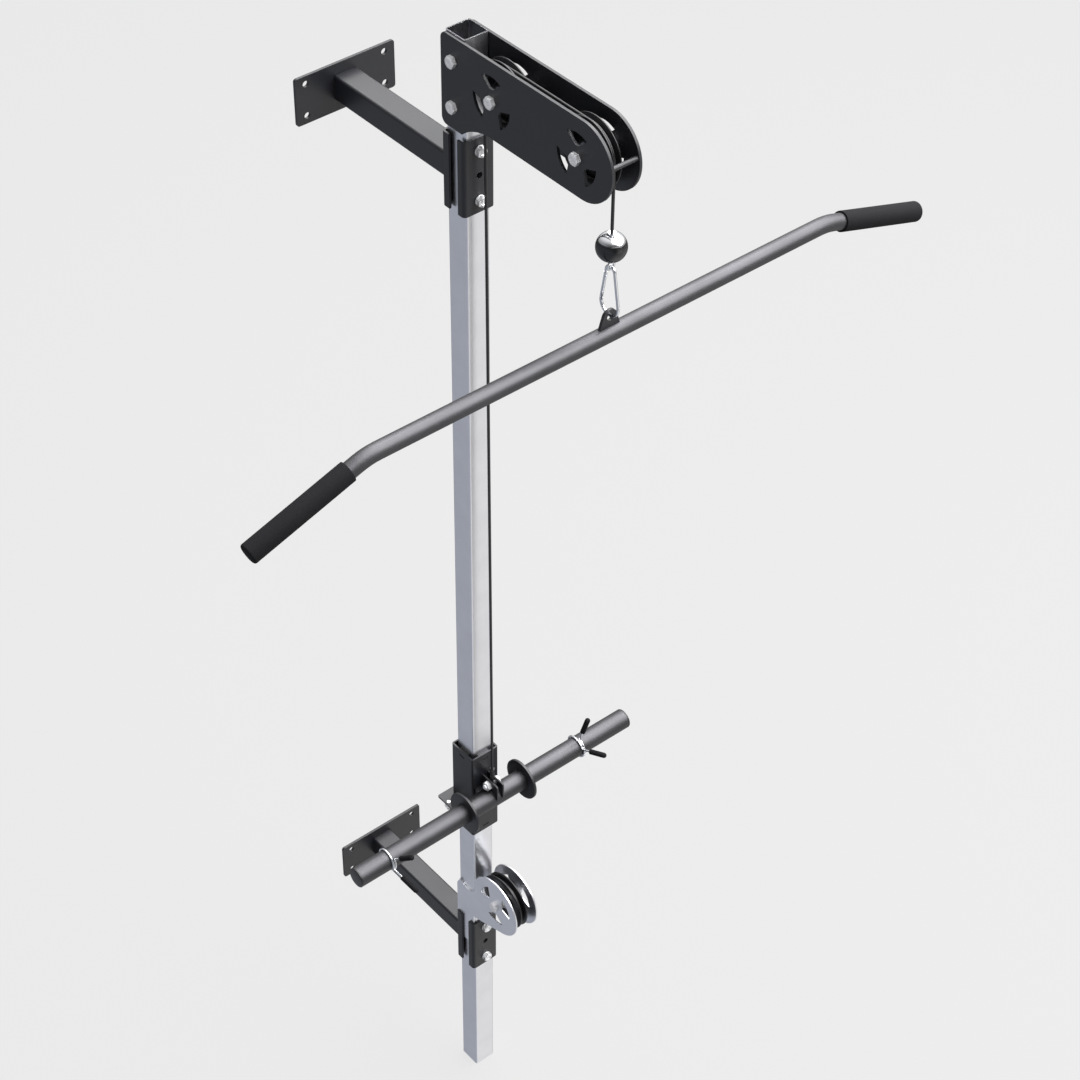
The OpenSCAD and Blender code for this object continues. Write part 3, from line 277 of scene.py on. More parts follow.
# %% Moulded nylon
moulded = grained("glass_filled_nylon_moulded", 1.1, 4.0, ("#08080a", "#131316"), (0.26, 0.44),
                  (0.00003, 0.2), {"Metallic": 0.0, "IOR": 1.53})

# %% [markdown]
# The hand grips, the collars' tips and the stop are moulded rubber. Rubber is dull, so it shows no
# highlight, only a slow change from a greyer top to a black underside. Its grain is 0.5 mm and is
# drawn at 1.3 mm, and a dry bloom greys it in patches a few centimetres wide.

# %% Matt rubber
rubber, tree = new_material("moulded_rubber_matt")
where = add(tree, "ShaderNodeTexCoord")
skin = add(tree, "ShaderNodeTexNoise", {"Vector": where.outputs["Object"], "Scale": 1000 / 1.3,
                                        "Detail": 3.0})
bloom = add(tree, "ShaderNodeTexNoise", {"Vector": where.outputs["Object"], "Scale": 1000 / 30})
shade = add(tree, "ShaderNodeMix", {
    0: bloom.outputs["Fac"], 6: linear("#0f0f11"), 7: linear("#18181a")}, data_type="RGBA")
gloss = add(tree, "ShaderNodeMapRange", {"Value": bloom.outputs["Fac"], "To Min": 0.78, "To Max": 0.9})
relief = add(tree, "ShaderNodeBump", {
    "Height": skin.outputs["Fac"], "Distance": 0.00006, "Strength": 0.3})
shader = add(tree, "ShaderNodeBsdfPrincipled", {
    "Base Color": shade.outputs[2], "Roughness": gloss.outputs["Result"],
    "Normal": relief.outputs["Normal"], "Metallic": 0.0, "IOR": 1.5, "Specular IOR Level": 0.14})
add(tree, "ShaderNodeOutputMaterial", {"Surface": shader.outputs["BSDF"]})
print("made", rubber.name)

# %% [markdown]
# The ball stop is hard rubber, turned and polished to a gloss. Polishing leaves slight waves,
# about 6 mm long, which bend the lamp's reflection a little.

# %% Polished hard rubber
polished = grained("hard_rubber_polished", 6, 2.0, ("#0c0c0e", "#131316"), (0.12, 0.24),
                   (0.00002, 0.1), {"Metallic": 0.0, "IOR": 1.55})

# %% [markdown]
# The cable is wire rope with a smooth black nylon coat. The strands press through the coat as a
# slow spiral, one turn in about 30 mm, so a band pattern runs along the cable at a slant.

# %% Coated cable
coated, tree = new_material("nylon_coated_wire_rope")
where = add(tree, "ShaderNodeTexCoord")
slant = add(tree, "ShaderNodeMapping", {"Vector": where.outputs["Object"], "Rotation": (0.9, 0.5, 0.0),
                                        "Scale": (100.0, 100.0, 100.0)})
strands = add(tree, "ShaderNodeTexWave", {"Vector": slant.outputs["Vector"], "Scale": 0.9,
                                          "Distortion": 0.4}, wave_type="BANDS")
wear = add(tree, "ShaderNodeTexNoise", {"Vector": where.outputs["Object"], "Scale": 1000 / 14})
shade = add(tree, "ShaderNodeMix", {
    0: wear.outputs["Fac"], 6: linear("#0e0e10"), 7: linear("#171719")}, data_type="RGBA")
gloss = add(tree, "ShaderNodeMapRange", {"Value": wear.outputs["Fac"], "To Min": 0.28, "To Max": 0.42})
relief = add(tree, "ShaderNodeBump", {
    "Height": strands.outputs["Fac"], "Distance": 0.00008, "Strength": 0.3})
shader = add(tree, "ShaderNodeBsdfPrincipled", {
    "Base Color": shade.outputs[2], "Roughness": gloss.outputs["Result"],
    "Normal": relief.outputs["Normal"], "Metallic": 0.0, "IOR": 1.53})
add(tree, "ShaderNodeOutputMaterial", {"Surface": shader.outputs["BSDF"]})
print("made", coated.name)

# %% [markdown]
# The bearings are ground steel, whose fine scratches, drawn as a grain of 0.8 mm, blur its shine.
# Little of them shows, only the rings' edges beside the pulleys' hubs, so relief isn't needed.

# %% Ground steel
ground = grained("bearing_steel_ground", 0.8, 3.0, ("#a3a6ac", "#bfc2c8"), (0.18, 0.34),
                 None, {"Metallic": 1.0})

# %% [markdown]
# The record names one finish for each slot. Each CAD node gets its slot's material first, so
# nothing stays bare, and pieces that replace nodes take theirs from the same table.

# %% Materials by slot
SLOTS = {
    "black_coat": powder, "bright_plate": plated, "fastener_zinc": fastener, "chrome": chrome,
    "bar_grey": gunmetal, "bearing_steel": ground, "pulley_black": moulded, "black_plastic": moulded,
    "gloss_black": polished, "grip_rubber": rubber, "rubber": rubber, "cable_black": coated,
}
node_slot = {s["node"]: s["material_slot"] for s in frame["record"]["subparts"]}
node_body = {n: body for body, names in frame["record"]["behaviour"]["bodies"].items() for n in names}
for name, obj in frame["nodes"].items():
    obj.data.materials.clear()
    obj.data.materials.append(SLOTS[node_slot[name]])
print("slots used:", sorted(set(node_slot.values())))

# %% [markdown]
# Two small builders make nearly everything. A turned shape spins a profile about an axis, as a
# lathe does. A swept shape carries a circle along a line, as a bent wire or a cable. Blender's
# Screw modifier and its curves can do the same, but lists of points and faces are easily joined,
# so the four alike bolts of a bracket become one piece, and each mesh comes out closed. Sizes are
# millimetres. The tower's own frame has its axis at x = y = 0 and z = 0 at the post's top end, and
# place() carries it to the wall's frame in metres.

# %% Shape builders
POST_OUT = 310.0
POST_TOP = 233.0


def place(x=0.0, y=0.0, z=0.0, turn=Matrix()):
    """The matrix from millimetres at a point of the tower's frame to metres in the wall's frame."""
    return Matrix.Scale(0.001, 4) @ Matrix.Translation((x, y - POST_OUT, z + POST_TOP)) @ turn


ALONG_X = Matrix.Rotation(pi / 2, 4, "Y")
ALONG_Y = Matrix.Rotation(-pi / 2, 4, "X")
ALONG_MINUS_X = Matrix.Rotation(-pi / 2, 4, "Y")
ALONG_MINUS_Y = Matrix.Rotation(pi / 2, 4, "X")


def circle(radius, height, sides):
    """Points on a circle about z."""
    return [Vector((radius * cos(2 * pi * k / sides), radius * sin(2 * pi * k / sides), height))
            for k in range(sides)]


def band(a, b, sides):
    """Faces between two circles of points that start at the numbers a and b."""
    return [[a + k, a + (k + 1) % sides, b + (k + 1) % sides, b + k] for k in range(sides)]


def lids(count, sides):
    """The two end faces of a tube that is made of this many circles."""
    return [list(range(sides))[::-1], [(count - 1) * sides + k for k in range(sides)]]


def turned(profile, sides=64, ring=False):
    """Spins (radius, height) pairs about z. A ring's profile is a closed loop off the axis."""
    points, loops = [], []
    for radius, height in profile:
        if radius < 1e-6:
            loops.append([len(points)])
            points.append(Vector((0, 0, height)))
            continue
        loops.append(list(range(len(points), len(points) + sides)))
        points += circle(radius, height, sides)
    faces = []
    pairs = list(zip(loops, loops[1:])) + ([(loops[-1], loops[0])] if ring else [])
    for low, high in pairs:
        for k in range(sides):
            after = (k + 1) % sides
            if len(low) == 1:
                faces.append([low[0], high[after], high[k]])
            elif len(high) == 1:
                faces.append([low[k], low[after], high[0]])
            else:
                faces.append([low[k], low[after], high[after], high[k]])
    return points, faces


def swept(path, radius, sides):
    """Carries a circle along a path of points."""
    count = len(path)
    headings = [(path[min(i + 1, count - 1)] - path[max(i - 1, 0)]).normalized()
                for i in range(count)]
    side = headings[0].orthogonal().normalized()
    points = []
    for centre, heading in zip(path, headings):
        side = (side - heading * side.dot(heading)).normalized()
        other = heading.cross(side)
        points += [centre + radius * (cos(2 * pi * k / sides) * side + sin(2 * pi * k / sides) * other)
                   for k in range(sides)]
    faces = [face for i in range(count - 1) for face in band(i * sides, (i + 1) * sides, sides)]
    return points, faces + lids(count, sides)


def put(shape, matrix):
    """A shape moved by a matrix."""
    return [matrix @ p for p in shape[0]], shape[1]


def together(shapes):
    """Several shapes as one."""
    points, faces = [], []
    for more_points, more_faces in shapes:
        faces += [[i + len(points) for i in face] for face in more_faces]
        points += more_points
    return points, faces


print("shape builders ready")

# %% [markdown]
# A piece is a mesh with a finish that rides on one CAD body. Edges that turn by more than 32
# degrees stay crisp and the rest shade smoothly, which is how turned and bent metal looks. A
# profile's corners are rounded here by short arcs, because a real lathe or mould leaves no corner
# sharp, and an arc in the profile costs less than a bevel on the finished mesh.

# %% Piece maker
def smooth_but_crisp(mesh, degrees=32):
    """Outward faces, smooth shading, and sharp edges above the given angle."""
    work = bmesh.new()
    work.from_mesh(mesh)
    bmesh.ops.recalc_face_normals(work, faces=work.faces)
    for face in work.faces:
        face.smooth = True
    for edge in work.edges:
        edge.smooth = len(edge.link_faces) == 2 and edge.calc_face_angle(0) < radians(degrees)
    work.to_mesh(mesh)
    work.free()


def piece(name, shape, slot, body, *nodes):
    """Makes a piece from a shape in metres, which rides on a body and may replace CAD nodes."""
    mesh = bpy.data.meshes.new(name)
    mesh.from_pydata([tuple(p) for p in shape[0]], [], shape[1])
    mesh.validate()
    smooth_but_crisp(mesh)
    obj = bpy.data.objects.new(name, mesh)
    bpy.context.scene.collection.objects.link(obj)
    mesh.materials.append(SLOTS[slot])
    if body:
        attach(obj, body)
    if nodes:
        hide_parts(*nodes)
    return obj


def rounded(corners, radius, steps=4):
    """A turned profile whose inner corners are rounded; a corner with radius 0 stays."""
    out = []
    for i, (corner, r) in enumerate(zip(corners, radius)):
        p = Vector(corner)
        if r == 0 or i in (0, len(corners) - 1):
            out.append(tuple(p))
            continue
        a = (Vector(corners[i - 1]) - p).normalized()
        b = (Vector(corners[i + 1]) - p).normalized()
        half = acos(max(-1.0, min(1.0, a.dot(b)))) / 2
        reach = r / max(0.05, sin(half) / cos(half))
        start, end = p + a * reach, p + b * reach
        middle = p + (a + b).normalized() * (r / sin(half))
        first = atan2(start.y - middle.y, start.x - middle.x)
        last = atan2(end.y - middle.y, end.x - middle.x)
        turn = (last - first + pi) % (2 * pi) - pi
        angles = [first + turn * k / steps for k in range(steps + 1)]
        out += [(middle.x + r * cos(angle), middle.y + r * sin(angle)) for angle in angles]
    return out


print("piece maker ready")

# %% [markdown]
# Sheet, bar and tube never have knife edges: shearing, bending and coating leave them rounded by
# a few tenths of a millimetre, and that thin band is what catches the light. A Bevel modifier on
# a CAD solid would also cut the seams between the triangles of its flat faces. So each solid is
# copied, its flat faces are joined, and only its sharp edges are bevelled. A copy that isn't
# closed, or has lost volume, is dropped, and the CAD solid stays with its finish.

# %% Softened copies of the CAD solids
FLAT_DEGREES, SHARP_DEGREES, CRISP_DEGREES = 0.6, 28, 40
WELD_M = 2e-6
VOLUME_SLACK = 0.08


def softened(node, width_mm):
    """A copy of a CAD node with rounded edges that takes its place."""
    work = bmesh.new()
    work.from_mesh(frame["nodes"][node].data)
    bmesh.ops.remove_doubles(work, verts=work.verts, dist=WELD_M)
    bmesh.ops.dissolve_limit(work, angle_limit=radians(FLAT_DEGREES), verts=work.verts,
                             edges=work.edges, delimit=set())
    sharp = [e for e in work.edges
             if len(e.link_faces) == 2 and e.calc_face_angle(0) > radians(SHARP_DEGREES)]
    before = work.calc_volume()
    bmesh.ops.bevel(work, geom=sharp, offset=width_mm / 1000, segments=2, profile=0.5,
                    affect="EDGES", clamp_overlap=True)
    closed = all(len(e.link_faces) == 2 for e in work.edges)
    kept = abs(work.calc_volume() - before) < VOLUME_SLACK * abs(before)
    if not (closed and kept):
        work.free()
        print("kept as it is:", node, "closed", closed, "volume kept", kept)
        return None
    mesh = bpy.data.meshes.new(node + "_soft")
    work.to_mesh(mesh)
    work.free()
    smooth_but_crisp(mesh, CRISP_DEGREES)
    obj = bpy.data.objects.new(node + "_soft", mesh)
    bpy.context.scene.collection.objects.link(obj)
    even = obj.modifiers.new("flat faces stay flat", "WEIGHTED_NORMAL")
    even.keep_sharp = True
    mesh.materials.append(SLOTS[node_slot[node]])
    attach(obj, node_body[node])
    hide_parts(node)
    return obj


EDGE_MM = {
    "post_tube": 0.4, "upper_wall_plate": 0.7, "lower_wall_plate": 0.7, "upper_arm_tube": 0.5,
    "lower_arm_tube": 0.5, "upper_rear_channel": 0.7, "lower_rear_channel": 0.7,
    "upper_front_channel": 0.7, "lower_front_channel": 0.7, "head_plate_left": 0.7,
    "head_plate_right": 0.7, "low_plate_left": 0.5, "low_plate_right": 0.5, "carriage_sleeve": 0.5,
    "carriage_apron": 0.7, "load_bar_saddle": 0.8, "lug_plates": 0.5, "pulldown_bar_lug": 0.8,
    "cable_guard_rod": 0.5, "ball_stem": 0.7, "glide_pads": 0.5, "load_bar_tube": 0.5,
}
made = [n for n, width in EDGE_MM.items() if softened(n, width)]
print("softened:", len(made), "of", len(EDGE_MM))

# %% [markdown]
# The post's inner walls get the darker grey that paints the shade in the bore. Its sawn ends were
# touched up with the black coat. One tube can't be split into an inner and an outer piece without
# an open edge, so it has three material slots. The walls are picked by their place within the bore,
# the ends by facing up or down.

# %% Inside of the post
BORE_HALF = 20.9
tube = bpy.data.objects["post_tube_soft"].data
# Slot 1 is the darker grey, painted shade for the bore's walls.
tube.materials.append(painted_bore_shade)
tube.materials.append(powder)
inner_faces = 0
for face in tube.polygons:
    off_axis = 1000 * max(abs(face.center.x), abs(face.center.y + POST_OUT / 1000))
    if abs(face.normal.z) > 0.95:
        face.material_index = 2
    elif off_axis < BORE_HALF and abs(face.normal.z) < 0.5:
        face.material_index = 1
        inner_faces += 1
print("inner faces:", inner_faces)

# %% [markdown]
# A forged hexagon head is chamfered by turning, so its six flats end in curved arcs under a round
# top. A six-sided cylinder with a bevel has no such arcs. Here the shape follows from one rule:
# the top is a shallow cone, and the flats cut it. The forging die leaves a shallow dish in a head,
# and a nut has a hole there. A thread is drawn as rings one pitch apart, because its slope is too
# slight to see, and rings stay closed.

# %% Hexagon heads, nuts and threads
HEX_SIDES = 72
CROWN, CHAMFER = 0.87, 0.62
DISH_RIM, DISH_FLOOR, DISH_DEEP = 0.6, 0.44, 1.1
NUT_EDGE = 0.6


def hexagon(across, height, bore=0.0):
    """A hexagon head, or a nut where it has a bore, from z = 0 to its height."""
    flat = across / 2
    round_r = flat * CROWN
    low, high = [], []
    for k in range(HEX_SIDES):
        angle = 2 * pi * k / HEX_SIDES
        reach = flat / cos((angle + pi / 6) % (pi / 3) - pi / 6)
        top = height - max(0.0, reach - round_r) * CHAMFER
        low.append(Vector((reach * cos(angle), reach * sin(angle), 0)))
        high.append(Vector((reach * cos(angle), reach * sin(angle), top)))
    if bore:
        inner = [(bore / 2 + NUT_EDGE, height), (bore / 2, height - NUT_EDGE), (bore / 2, 0.0)]
    else:
        inner = [(flat * DISH_RIM, height), (flat * DISH_FLOOR, height - DISH_DEEP)]
    loops = [low, high] + [circle(r, z, HEX_SIDES) for r, z in [(round_r, height)] + inner]
    count = len(loops)
    faces = []
    for i in range(count if bore else count - 1):
        faces += band(i * HEX_SIDES, (i + 1) % count * HEX_SIDES, HEX_SIDES)
    return [p for loop in loops for p in loop], faces + ([] if bore else lids(count, HEX_SIDES))


THREAD_DEEP, TIP_CUT = 0.55, 1.2
SMALL_PITCH = 1.25


def shank(diameter, length, thread_from, pitch=1.75):
    """A bolt's shank from z = 0, threaded past thread_from and chamfered at its tip."""
    r = diameter / 2
    profile = [(0, 0), (r, 0)]
    z = thread_from
    while z + pitch < length - TIP_CUT:
        profile += [(r, z), (r - THREAD_DEEP, z + pitch / 2), (r, z + pitch)]
        z += pitch
    return turned(profile + [(r, length - TIP_CUT), (r - TIP_CUT, length), (0, length)], sides=40)


def bolt(diameter, across, head, grip, past, turn, x, y, z):
    """Head below z = 0, shank through the grip and past it, placed in the tower's frame."""
    where = place(x, y, z, turn)
    down = Matrix.Rotation(pi, 4, "X")
    return together([put(put(hexagon(across, head), down), where),
                     put(shank(diameter, grip + past, grip), where)])


print("hexagon heads and shanks ready")

# %% [markdown]
# Each bracket holds the post between two channels, and two long bolts pull them together. Both
# brackets' bolts are alike, so they are made in one loop and kept as one piece for each kind:
# bolts, nuts and washers.

# %% Clamp bolts
UPPER_Z, LOWER_Z = -233.0, -1993.0
CLAMP_HALF = 43.5
CLAMP_Y, WASHER = 26.5, 2.0
CLAMP_GRIP = 2 * (CLAMP_Y + WASHER)
HEAD_TALL, PAST_NUT = 7.5, 10.5
ring = rounded([(5.05, WASHER / 2), (5.05, WASHER), (9, WASHER), (9, 0), (5.05, 0)],
               [0, 0.3, 0.5, 0.4, 0])
bolts, nuts, washers = [], [], []
for bracket in (UPPER_Z, LOWER_Z):
    for lift in (-CLAMP_HALF, CLAMP_HALF):
        z = bracket + lift
        bolts.append(bolt(10, 16, HEAD_TALL, CLAMP_GRIP, PAST_NUT, ALONG_Y, 0, -CLAMP_GRIP / 2, z))
        nuts.append(put(hexagon(16, HEAD_TALL, 10.1), place(0, CLAMP_GRIP / 2, z, ALONG_Y)))
        for y, turn in ((-CLAMP_Y, ALONG_MINUS_Y), (CLAMP_Y, ALONG_Y)):
            washers.append(put(turned(ring, 48, ring=True), place(0, y, z, turn)))
piece("clamp_bolts_forged", together(bolts), "fastener_zinc", "tower", "clamp_bolts")
piece("clamp_nuts_forged", together(nuts), "fastener_zinc", "tower", "clamp_nuts")
piece("clamp_washers_pressed", together(washers), "fastener_zinc", "tower", "clamp_washers")
print("clamp bolts:", len(bolts), "washers:", len(washers))

# %% [markdown]
# The head is held by two bolts through the post, and each pulley turns on a bolt of the same
# size. Their heads are on the left and their nuts on the right, as in the photograph. The same
# bolt() makes them, only along X. The low plates' outer faces are 2 mm nearer to the middle at
# each side, so the low axle is shorter.

# %% Head bolts and axles
HEAD_OUT, LOW_OUT = 27.5, 25.5
REAR_Y, FRONT_Y = -88.0, -274.0
AXLE_Z, LOW_Z = -67.5, -1816.0
across_post = [(0.0, -42.0, HEAD_OUT), (0.0, -117.5, HEAD_OUT)]
axles = [(REAR_Y, AXLE_Z, HEAD_OUT), (FRONT_Y, AXLE_Z, HEAD_OUT), (REAR_Y, LOW_Z, LOW_OUT)]
for name, places in (("head", across_post), ("axle", axles)):
    heads = [bolt(12, 18, HEAD_TALL, 2 * out, PAST_NUT, ALONG_X, -out, y, z) for y, z, out in places]
    tight = [put(hexagon(18, HEAD_TALL, 12.1), place(out, y, z, ALONG_X)) for y, z, out in places]
    piece(name + "_bolts_forged", together(heads), "fastener_zinc", "tower", name + "_bolts")
    piece(name + "_nuts_forged", together(tight), "fastener_zinc", "tower", name + "_nuts")
print("axles:", len(axles))

# %% [markdown]
# A pulley of this kind is one nylon moulding: a hub, a thin web and a deep rim whose groove just
# holds the cable. All of it is round, so one turned profile makes it, with the small fillets that
# let it leave its mould. Its sealed bearing shows two ground rings and a pressed shield, set back
# between them.

# %% Pulleys and bearings
def pulley_profile():
    """The pulley's section once round: bore 17.5, hub 22.5, web to 39, rim 56, groove's floor 45."""
    corners = [(17.5, -8), (22.5, -8), (22.5, -4), (39, -4), (39, -8), (56, -8), (56, -5.5),
               (50, -3.2), (48.6, -3.0), (45.4, -1.6), (45.0, 0), (45.4, 1.6), (48.6, 3.0), (50, 3.2),
               (56, 5.5), (56, 8), (39, 8), (39, 4), (22.5, 4), (22.5, 8), (17.5, 8), (17.5, 0)]
    radii = [0, 1, 2, 2, 1, 1.2, 0.8, 0, 0, 0.8, 0, 0.8, 0, 0, 0.8, 1.2, 1, 2, 2, 1, 0, 0]
    return rounded(corners, radii, 3)


def bearing_profiles():
    """Outer ring, inner ring and shield."""
    outer = rounded([(15.5, 0), (15.5, 7), (17.5, 7), (17.5, -7), (15.5, -7)], [0, .3, .6, .6, .3])
    inner = rounded([(10.4, 0), (10.4, -7), (6.05, -7), (6.05, 7), (10.4, 7)], [0, .3, .5, .5, .3])
    shield = [(10.3, -6.2), (13, -6.5), (15.6, -6.2), (15.6, 6.2), (13, 6.5), (10.3, 6.2)]
    return outer, inner, shield


WHEELS = [
    ("head_pulley_rear", "head_bearing_rear", "head_wheel_rear", REAR_Y, AXLE_Z),
    ("head_pulley_front", "head_bearing_front", "head_wheel_front", FRONT_Y, AXLE_Z),
    ("low_pulley_wheel", "low_pulley_bearing", "low_wheel", REAR_Y, LOW_Z),
]
for wheel, bearing, body, y, z in WHEELS:
    where = place(0, y, z, ALONG_X)
    moulding = put(turned(pulley_profile(), 96, ring=True), where)
    piece(wheel + "_moulded", moulding, "pulley_black", body, wheel)
    rings = together([put(turned(p, 64, ring=True), where) for p in bearing_profiles()])
    piece(bearing + "_ground", rings, "bearing_steel", body, bearing)
spacer = rounded([(6.05, 15), (6.05, 22.5), (10, 22.5), (10, 7.3), (6.05, 7.3)],
                 [0, 0.3, 0.5, 0.5, 0.3])
spacers = [put(turned(spacer, 40, ring=True), place(0, y, z, turn))
           for y, z, out in axles for turn in (ALONG_X, ALONG_MINUS_X)]
piece("axle_spacers_turned", together(spacers), "fastener_zinc", "tower", "axle_spacers")
print("pulley profile points:", len(pulley_profile()))

# %% [markdown]
# The load bar carries two welded flanges and has plugs in its ends. The bolt that the cable's eye
# hangs on is on the carriage's front, and two small bolts hold the apron plate from below. They
# are turned shapes and bolts again, because the CAD mesh of a round part is made of flat strips,
# which show at its outline.

# %% Flanges, plugs and carriage hardware
BAR_Y, BAR_Z = -54.0, -1557.0
FLANGE_X, PLUG_X = 66, 292
LUG_Y, LUG_Z, LUG_OUT = -50.0, -1527.0, 8.0
APRON_X, APRON_Y, APRON_Z, APRON_HEAD = 46.1, 21, -1608.0, 8
flange = rounded([(19.05, 0), (19.05, 2.5), (40, 2.5), (40, -2.5), (19.05, -2.5)], [0, .2, .5, .5, .2])
flanges = [put(turned(flange, 96, ring=True), place(side * FLANGE_X, BAR_Y, BAR_Z, ALONG_X))
           for side in (-1, 1)]
piece("load_bar_flanges_turned", together(flanges), "black_coat", "carriage", "load_bar_flanges")
plug = rounded([(0, 0), (14.95, 0), (14.95, 18), (19, 18), (19, 21), (0, 21)], [0, .8, 0, .2, 1.4, 0])
plugs = [put(turned(plug, 64), place(side * PLUG_X, BAR_Y, BAR_Z, turn))
         for side, turn in ((-1, ALONG_MINUS_X), (1, ALONG_X))]
piece("load_bar_plugs_moulded", together(plugs), "black_plastic", "carriage", "load_bar_caps")
piece("lug_bolt_forged", bolt(10, 16, 6.5, 2 * LUG_OUT, 11, ALONG_MINUS_X, LUG_OUT, LUG_Y, LUG_Z),
      "fastener_zinc", "carriage", "lug_bolt")
piece("lug_nut_forged", put(hexagon(16, 8, 10.1), place(-LUG_OUT, LUG_Y, LUG_Z, ALONG_MINUS_X)),
      "fastener_zinc", "carriage", "lug_nut")
apron_stub = turned([(0, 0), (4, 0), (4, 3.4), (3.4, 4), (0, 4)], 32)
apron = []
for side in (-1, 1):
    upright = place(side * APRON_X, APRON_Y, APRON_Z)
    downward = upright @ Matrix.Rotation(pi, 4, "X")
    apron.append(put(hexagon(13, APRON_HEAD), downward))
    apron.append(put(shank(8, 2 * APRON_HEAD, APRON_HEAD, SMALL_PITCH), downward))
    apron.append(put(apron_stub, upright))
piece("apron_bolts_forged", together(apron), "fastener_zinc", "carriage", "apron_bolts")
print("carriage hardware made at height, mm:", BAR_Z)

# %% [markdown]
# The hand grips are plain rubber tubes, closed and rounded at the outer end, pushed over the bar's
# bent ends. They could be a curve along the bar, but they cover its straight ends alone, so each
# is turned about its own axis. That axis follows the bar's bent direction and starts where the
# straight end begins.

# %% Hand grips
BAR_TOP_Y = -322.0
SPAN, END_RUN, BEND = 1280.0, 204.0, radians(18)
BEND_R, BAR_R = 110.0, 13.5
GRIP_R, GRIP_BORE, GRIP_START, END_WALL = 16.5, 13.55, 16, 4
bend_half = round(BEND_R * sin(BEND / 2) / cos(BEND / 2), 2)
mid_half = SPAN / 2 - END_RUN - bend_half
end_len = END_RUN / cos(BEND) - bend_half - END_WALL
grip_end = end_len + END_WALL
bar_axis_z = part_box("pulldown_bar_rod")[1].z * 1000 - POST_TOP - BAR_R
for side, name in ((-1, "grip_left"), (1, "grip_right")):
    facing = Matrix.Rotation(pi if side < 0 else 0, 4, "Z")
    bent = (facing @ Matrix.Translation((mid_half, 0, -BEND_R)) @ Matrix.Rotation(BEND, 4, "Y")
            @ Matrix.Translation((0, 0, BEND_R)) @ ALONG_X)
    corners = [(GRIP_BORE, end_len), (GRIP_BORE, GRIP_START), (GRIP_R, GRIP_START),
               (GRIP_R, grip_end), (0, grip_end)]
    profile = [(0, end_len)] + rounded(corners, [0, 0.5, 0.8, 3.6, 0], 6)
    piece(name + "_moulded", put(turned(profile, 72), place(0, BAR_TOP_Y, bar_axis_z, bent)),
          "grip_rubber", "pulldown_bar", name)
print("grip length, mm:", round(grip_end - GRIP_START, 1))

# %% [markdown]
# A spring collar is one wire, wound a little more than once about the bar. Its two ends turn
# outwards and carry rubber tips: squeezing them opens the coil. A Screw modifier would wind the
# coil but not bend its ends, so the wire's whole line is worked out, end, coil and end, and a
# circle is swept along it. The tips are turned, with a round end, and set on the arms.

# %% Spring collars
WIRE, COIL_R, PITCH = 4.0, 21.3, 4.8
WOUND = 1.08
COIL_LAST, COIL_STEPS = 390.0, 52
BEND_WIRE, ARM, LEAN, SPLAY = 4.5, 18.0, radians(7), 12.0
TIP_LEN, TIP_D, IN_TIP = 40.0, 10.0, 12
COLLARS = [
    # side, place along the bar, degrees round it
    ("left", -243.0, 151),
    ("right", 197.0, 115),
]


def outward(angle):
    """From the bar's axis outwards, at an angle in degrees round it."""
    return Vector((0, cos(radians(angle)), sin(radians(angle))))


def coil_point(angle):
    """A point on the middle line of the coil."""
    return Vector((-PITCH * angle / 360, 0, 0)) + COIL_R * outward(angle)


def bend_point(angle, way, turn):
    """A point on the bend that leads out of the coil, after a turn in radians."""
    along = way * Vector((0, -sin(radians(angle)), cos(radians(angle))))
    return coil_point(angle) + BEND_WIRE * (sin(turn) * along + (1 - cos(turn)) * outward(angle))


def arm_heading(angle, way):
    """The direction of an arm: outwards, splayed, and leaning along the bar."""
    return cos(LEAN) * outward(angle + way * SPLAY) + Vector((sin(LEAN), 0, 0))


def end_line(angle, way):
    """The bend and the arm at one end of the coil; the arm reaches into its tip."""
    corner = bend_point(angle, way, pi / 2)
    curve = [bend_point(angle, way, pi / 2 * k / 6) for k in range(1, 7)]
    return curve + [corner + arm_heading(angle, way) * (ARM + IN_TIP) * k / 4 for k in range(1, 5)]


coil_line = [coil_point(COIL_LAST * k / COIL_STEPS) for k in range(COIL_STEPS + 1)]
wire_line = end_line(0, -1)[::-1] + coil_line + end_line(COIL_LAST, 1)
tip = rounded([(0, 0), (TIP_D / 2, 0), (TIP_D / 2, TIP_LEN - TIP_D / 2)], [0, 0.8, 0])
tip += [(TIP_D / 2 * cos(pi / 2 * k / 8), TIP_LEN - TIP_D / 2 + TIP_D / 2 * sin(pi / 2 * k / 8))
        for k in range(1, 9)]
tip[-1] = (0, TIP_LEN)
for side, x, turn in COLLARS:
    where = place(x + PITCH * WOUND / 2, BAR_Y, BAR_Z, Matrix.Rotation(radians(turn), 4, "X"))
    body = "collar_" + side
    wire = put(swept(wire_line, WIRE / 2, 14), where)
    piece(body + "_wire_wound", wire, "chrome", body, body + "_wire")
    tips = []
    for angle, way in ((0, -1), (COIL_LAST, 1)):
        heading = arm_heading(angle, way)
        start = bend_point(angle, way, pi / 2) + ARM * heading
        turn_to = heading.to_track_quat("Z", "Y").to_matrix().to_4x4()
        tips.append(put(turned(tip, 40), where @ Matrix.Translation(start) @ turn_to))
    piece(body + "_tips_moulded", together(tips), "grip_rubber", body, body + "_grips")
print("collar wire points:", len(wire_line))

# %% [markdown]
# The ball stop is a turned ball with a chrome cap, and a fine groove runs where they meet. One
# sphere with two materials would have no groove and no hole for the stem, so both halves are
# turned rings whose outlines are arcs of the same ball.

# %% Ball stop
BALL_Z, BALL_R, CAP_Z = -200.5, 23.25, 12.09
HOLE = 6.55


def ball_arc(low, high, steps=28):
    """Points on the ball's outline between two heights."""
    first, last = asin(low / BALL_R), asin(high / BALL_R)
    angles = [first + (last - first) * k / steps for k in range(steps + 1)]
    return [(BALL_R * cos(angle), BALL_R * sin(angle)) for angle in angles]


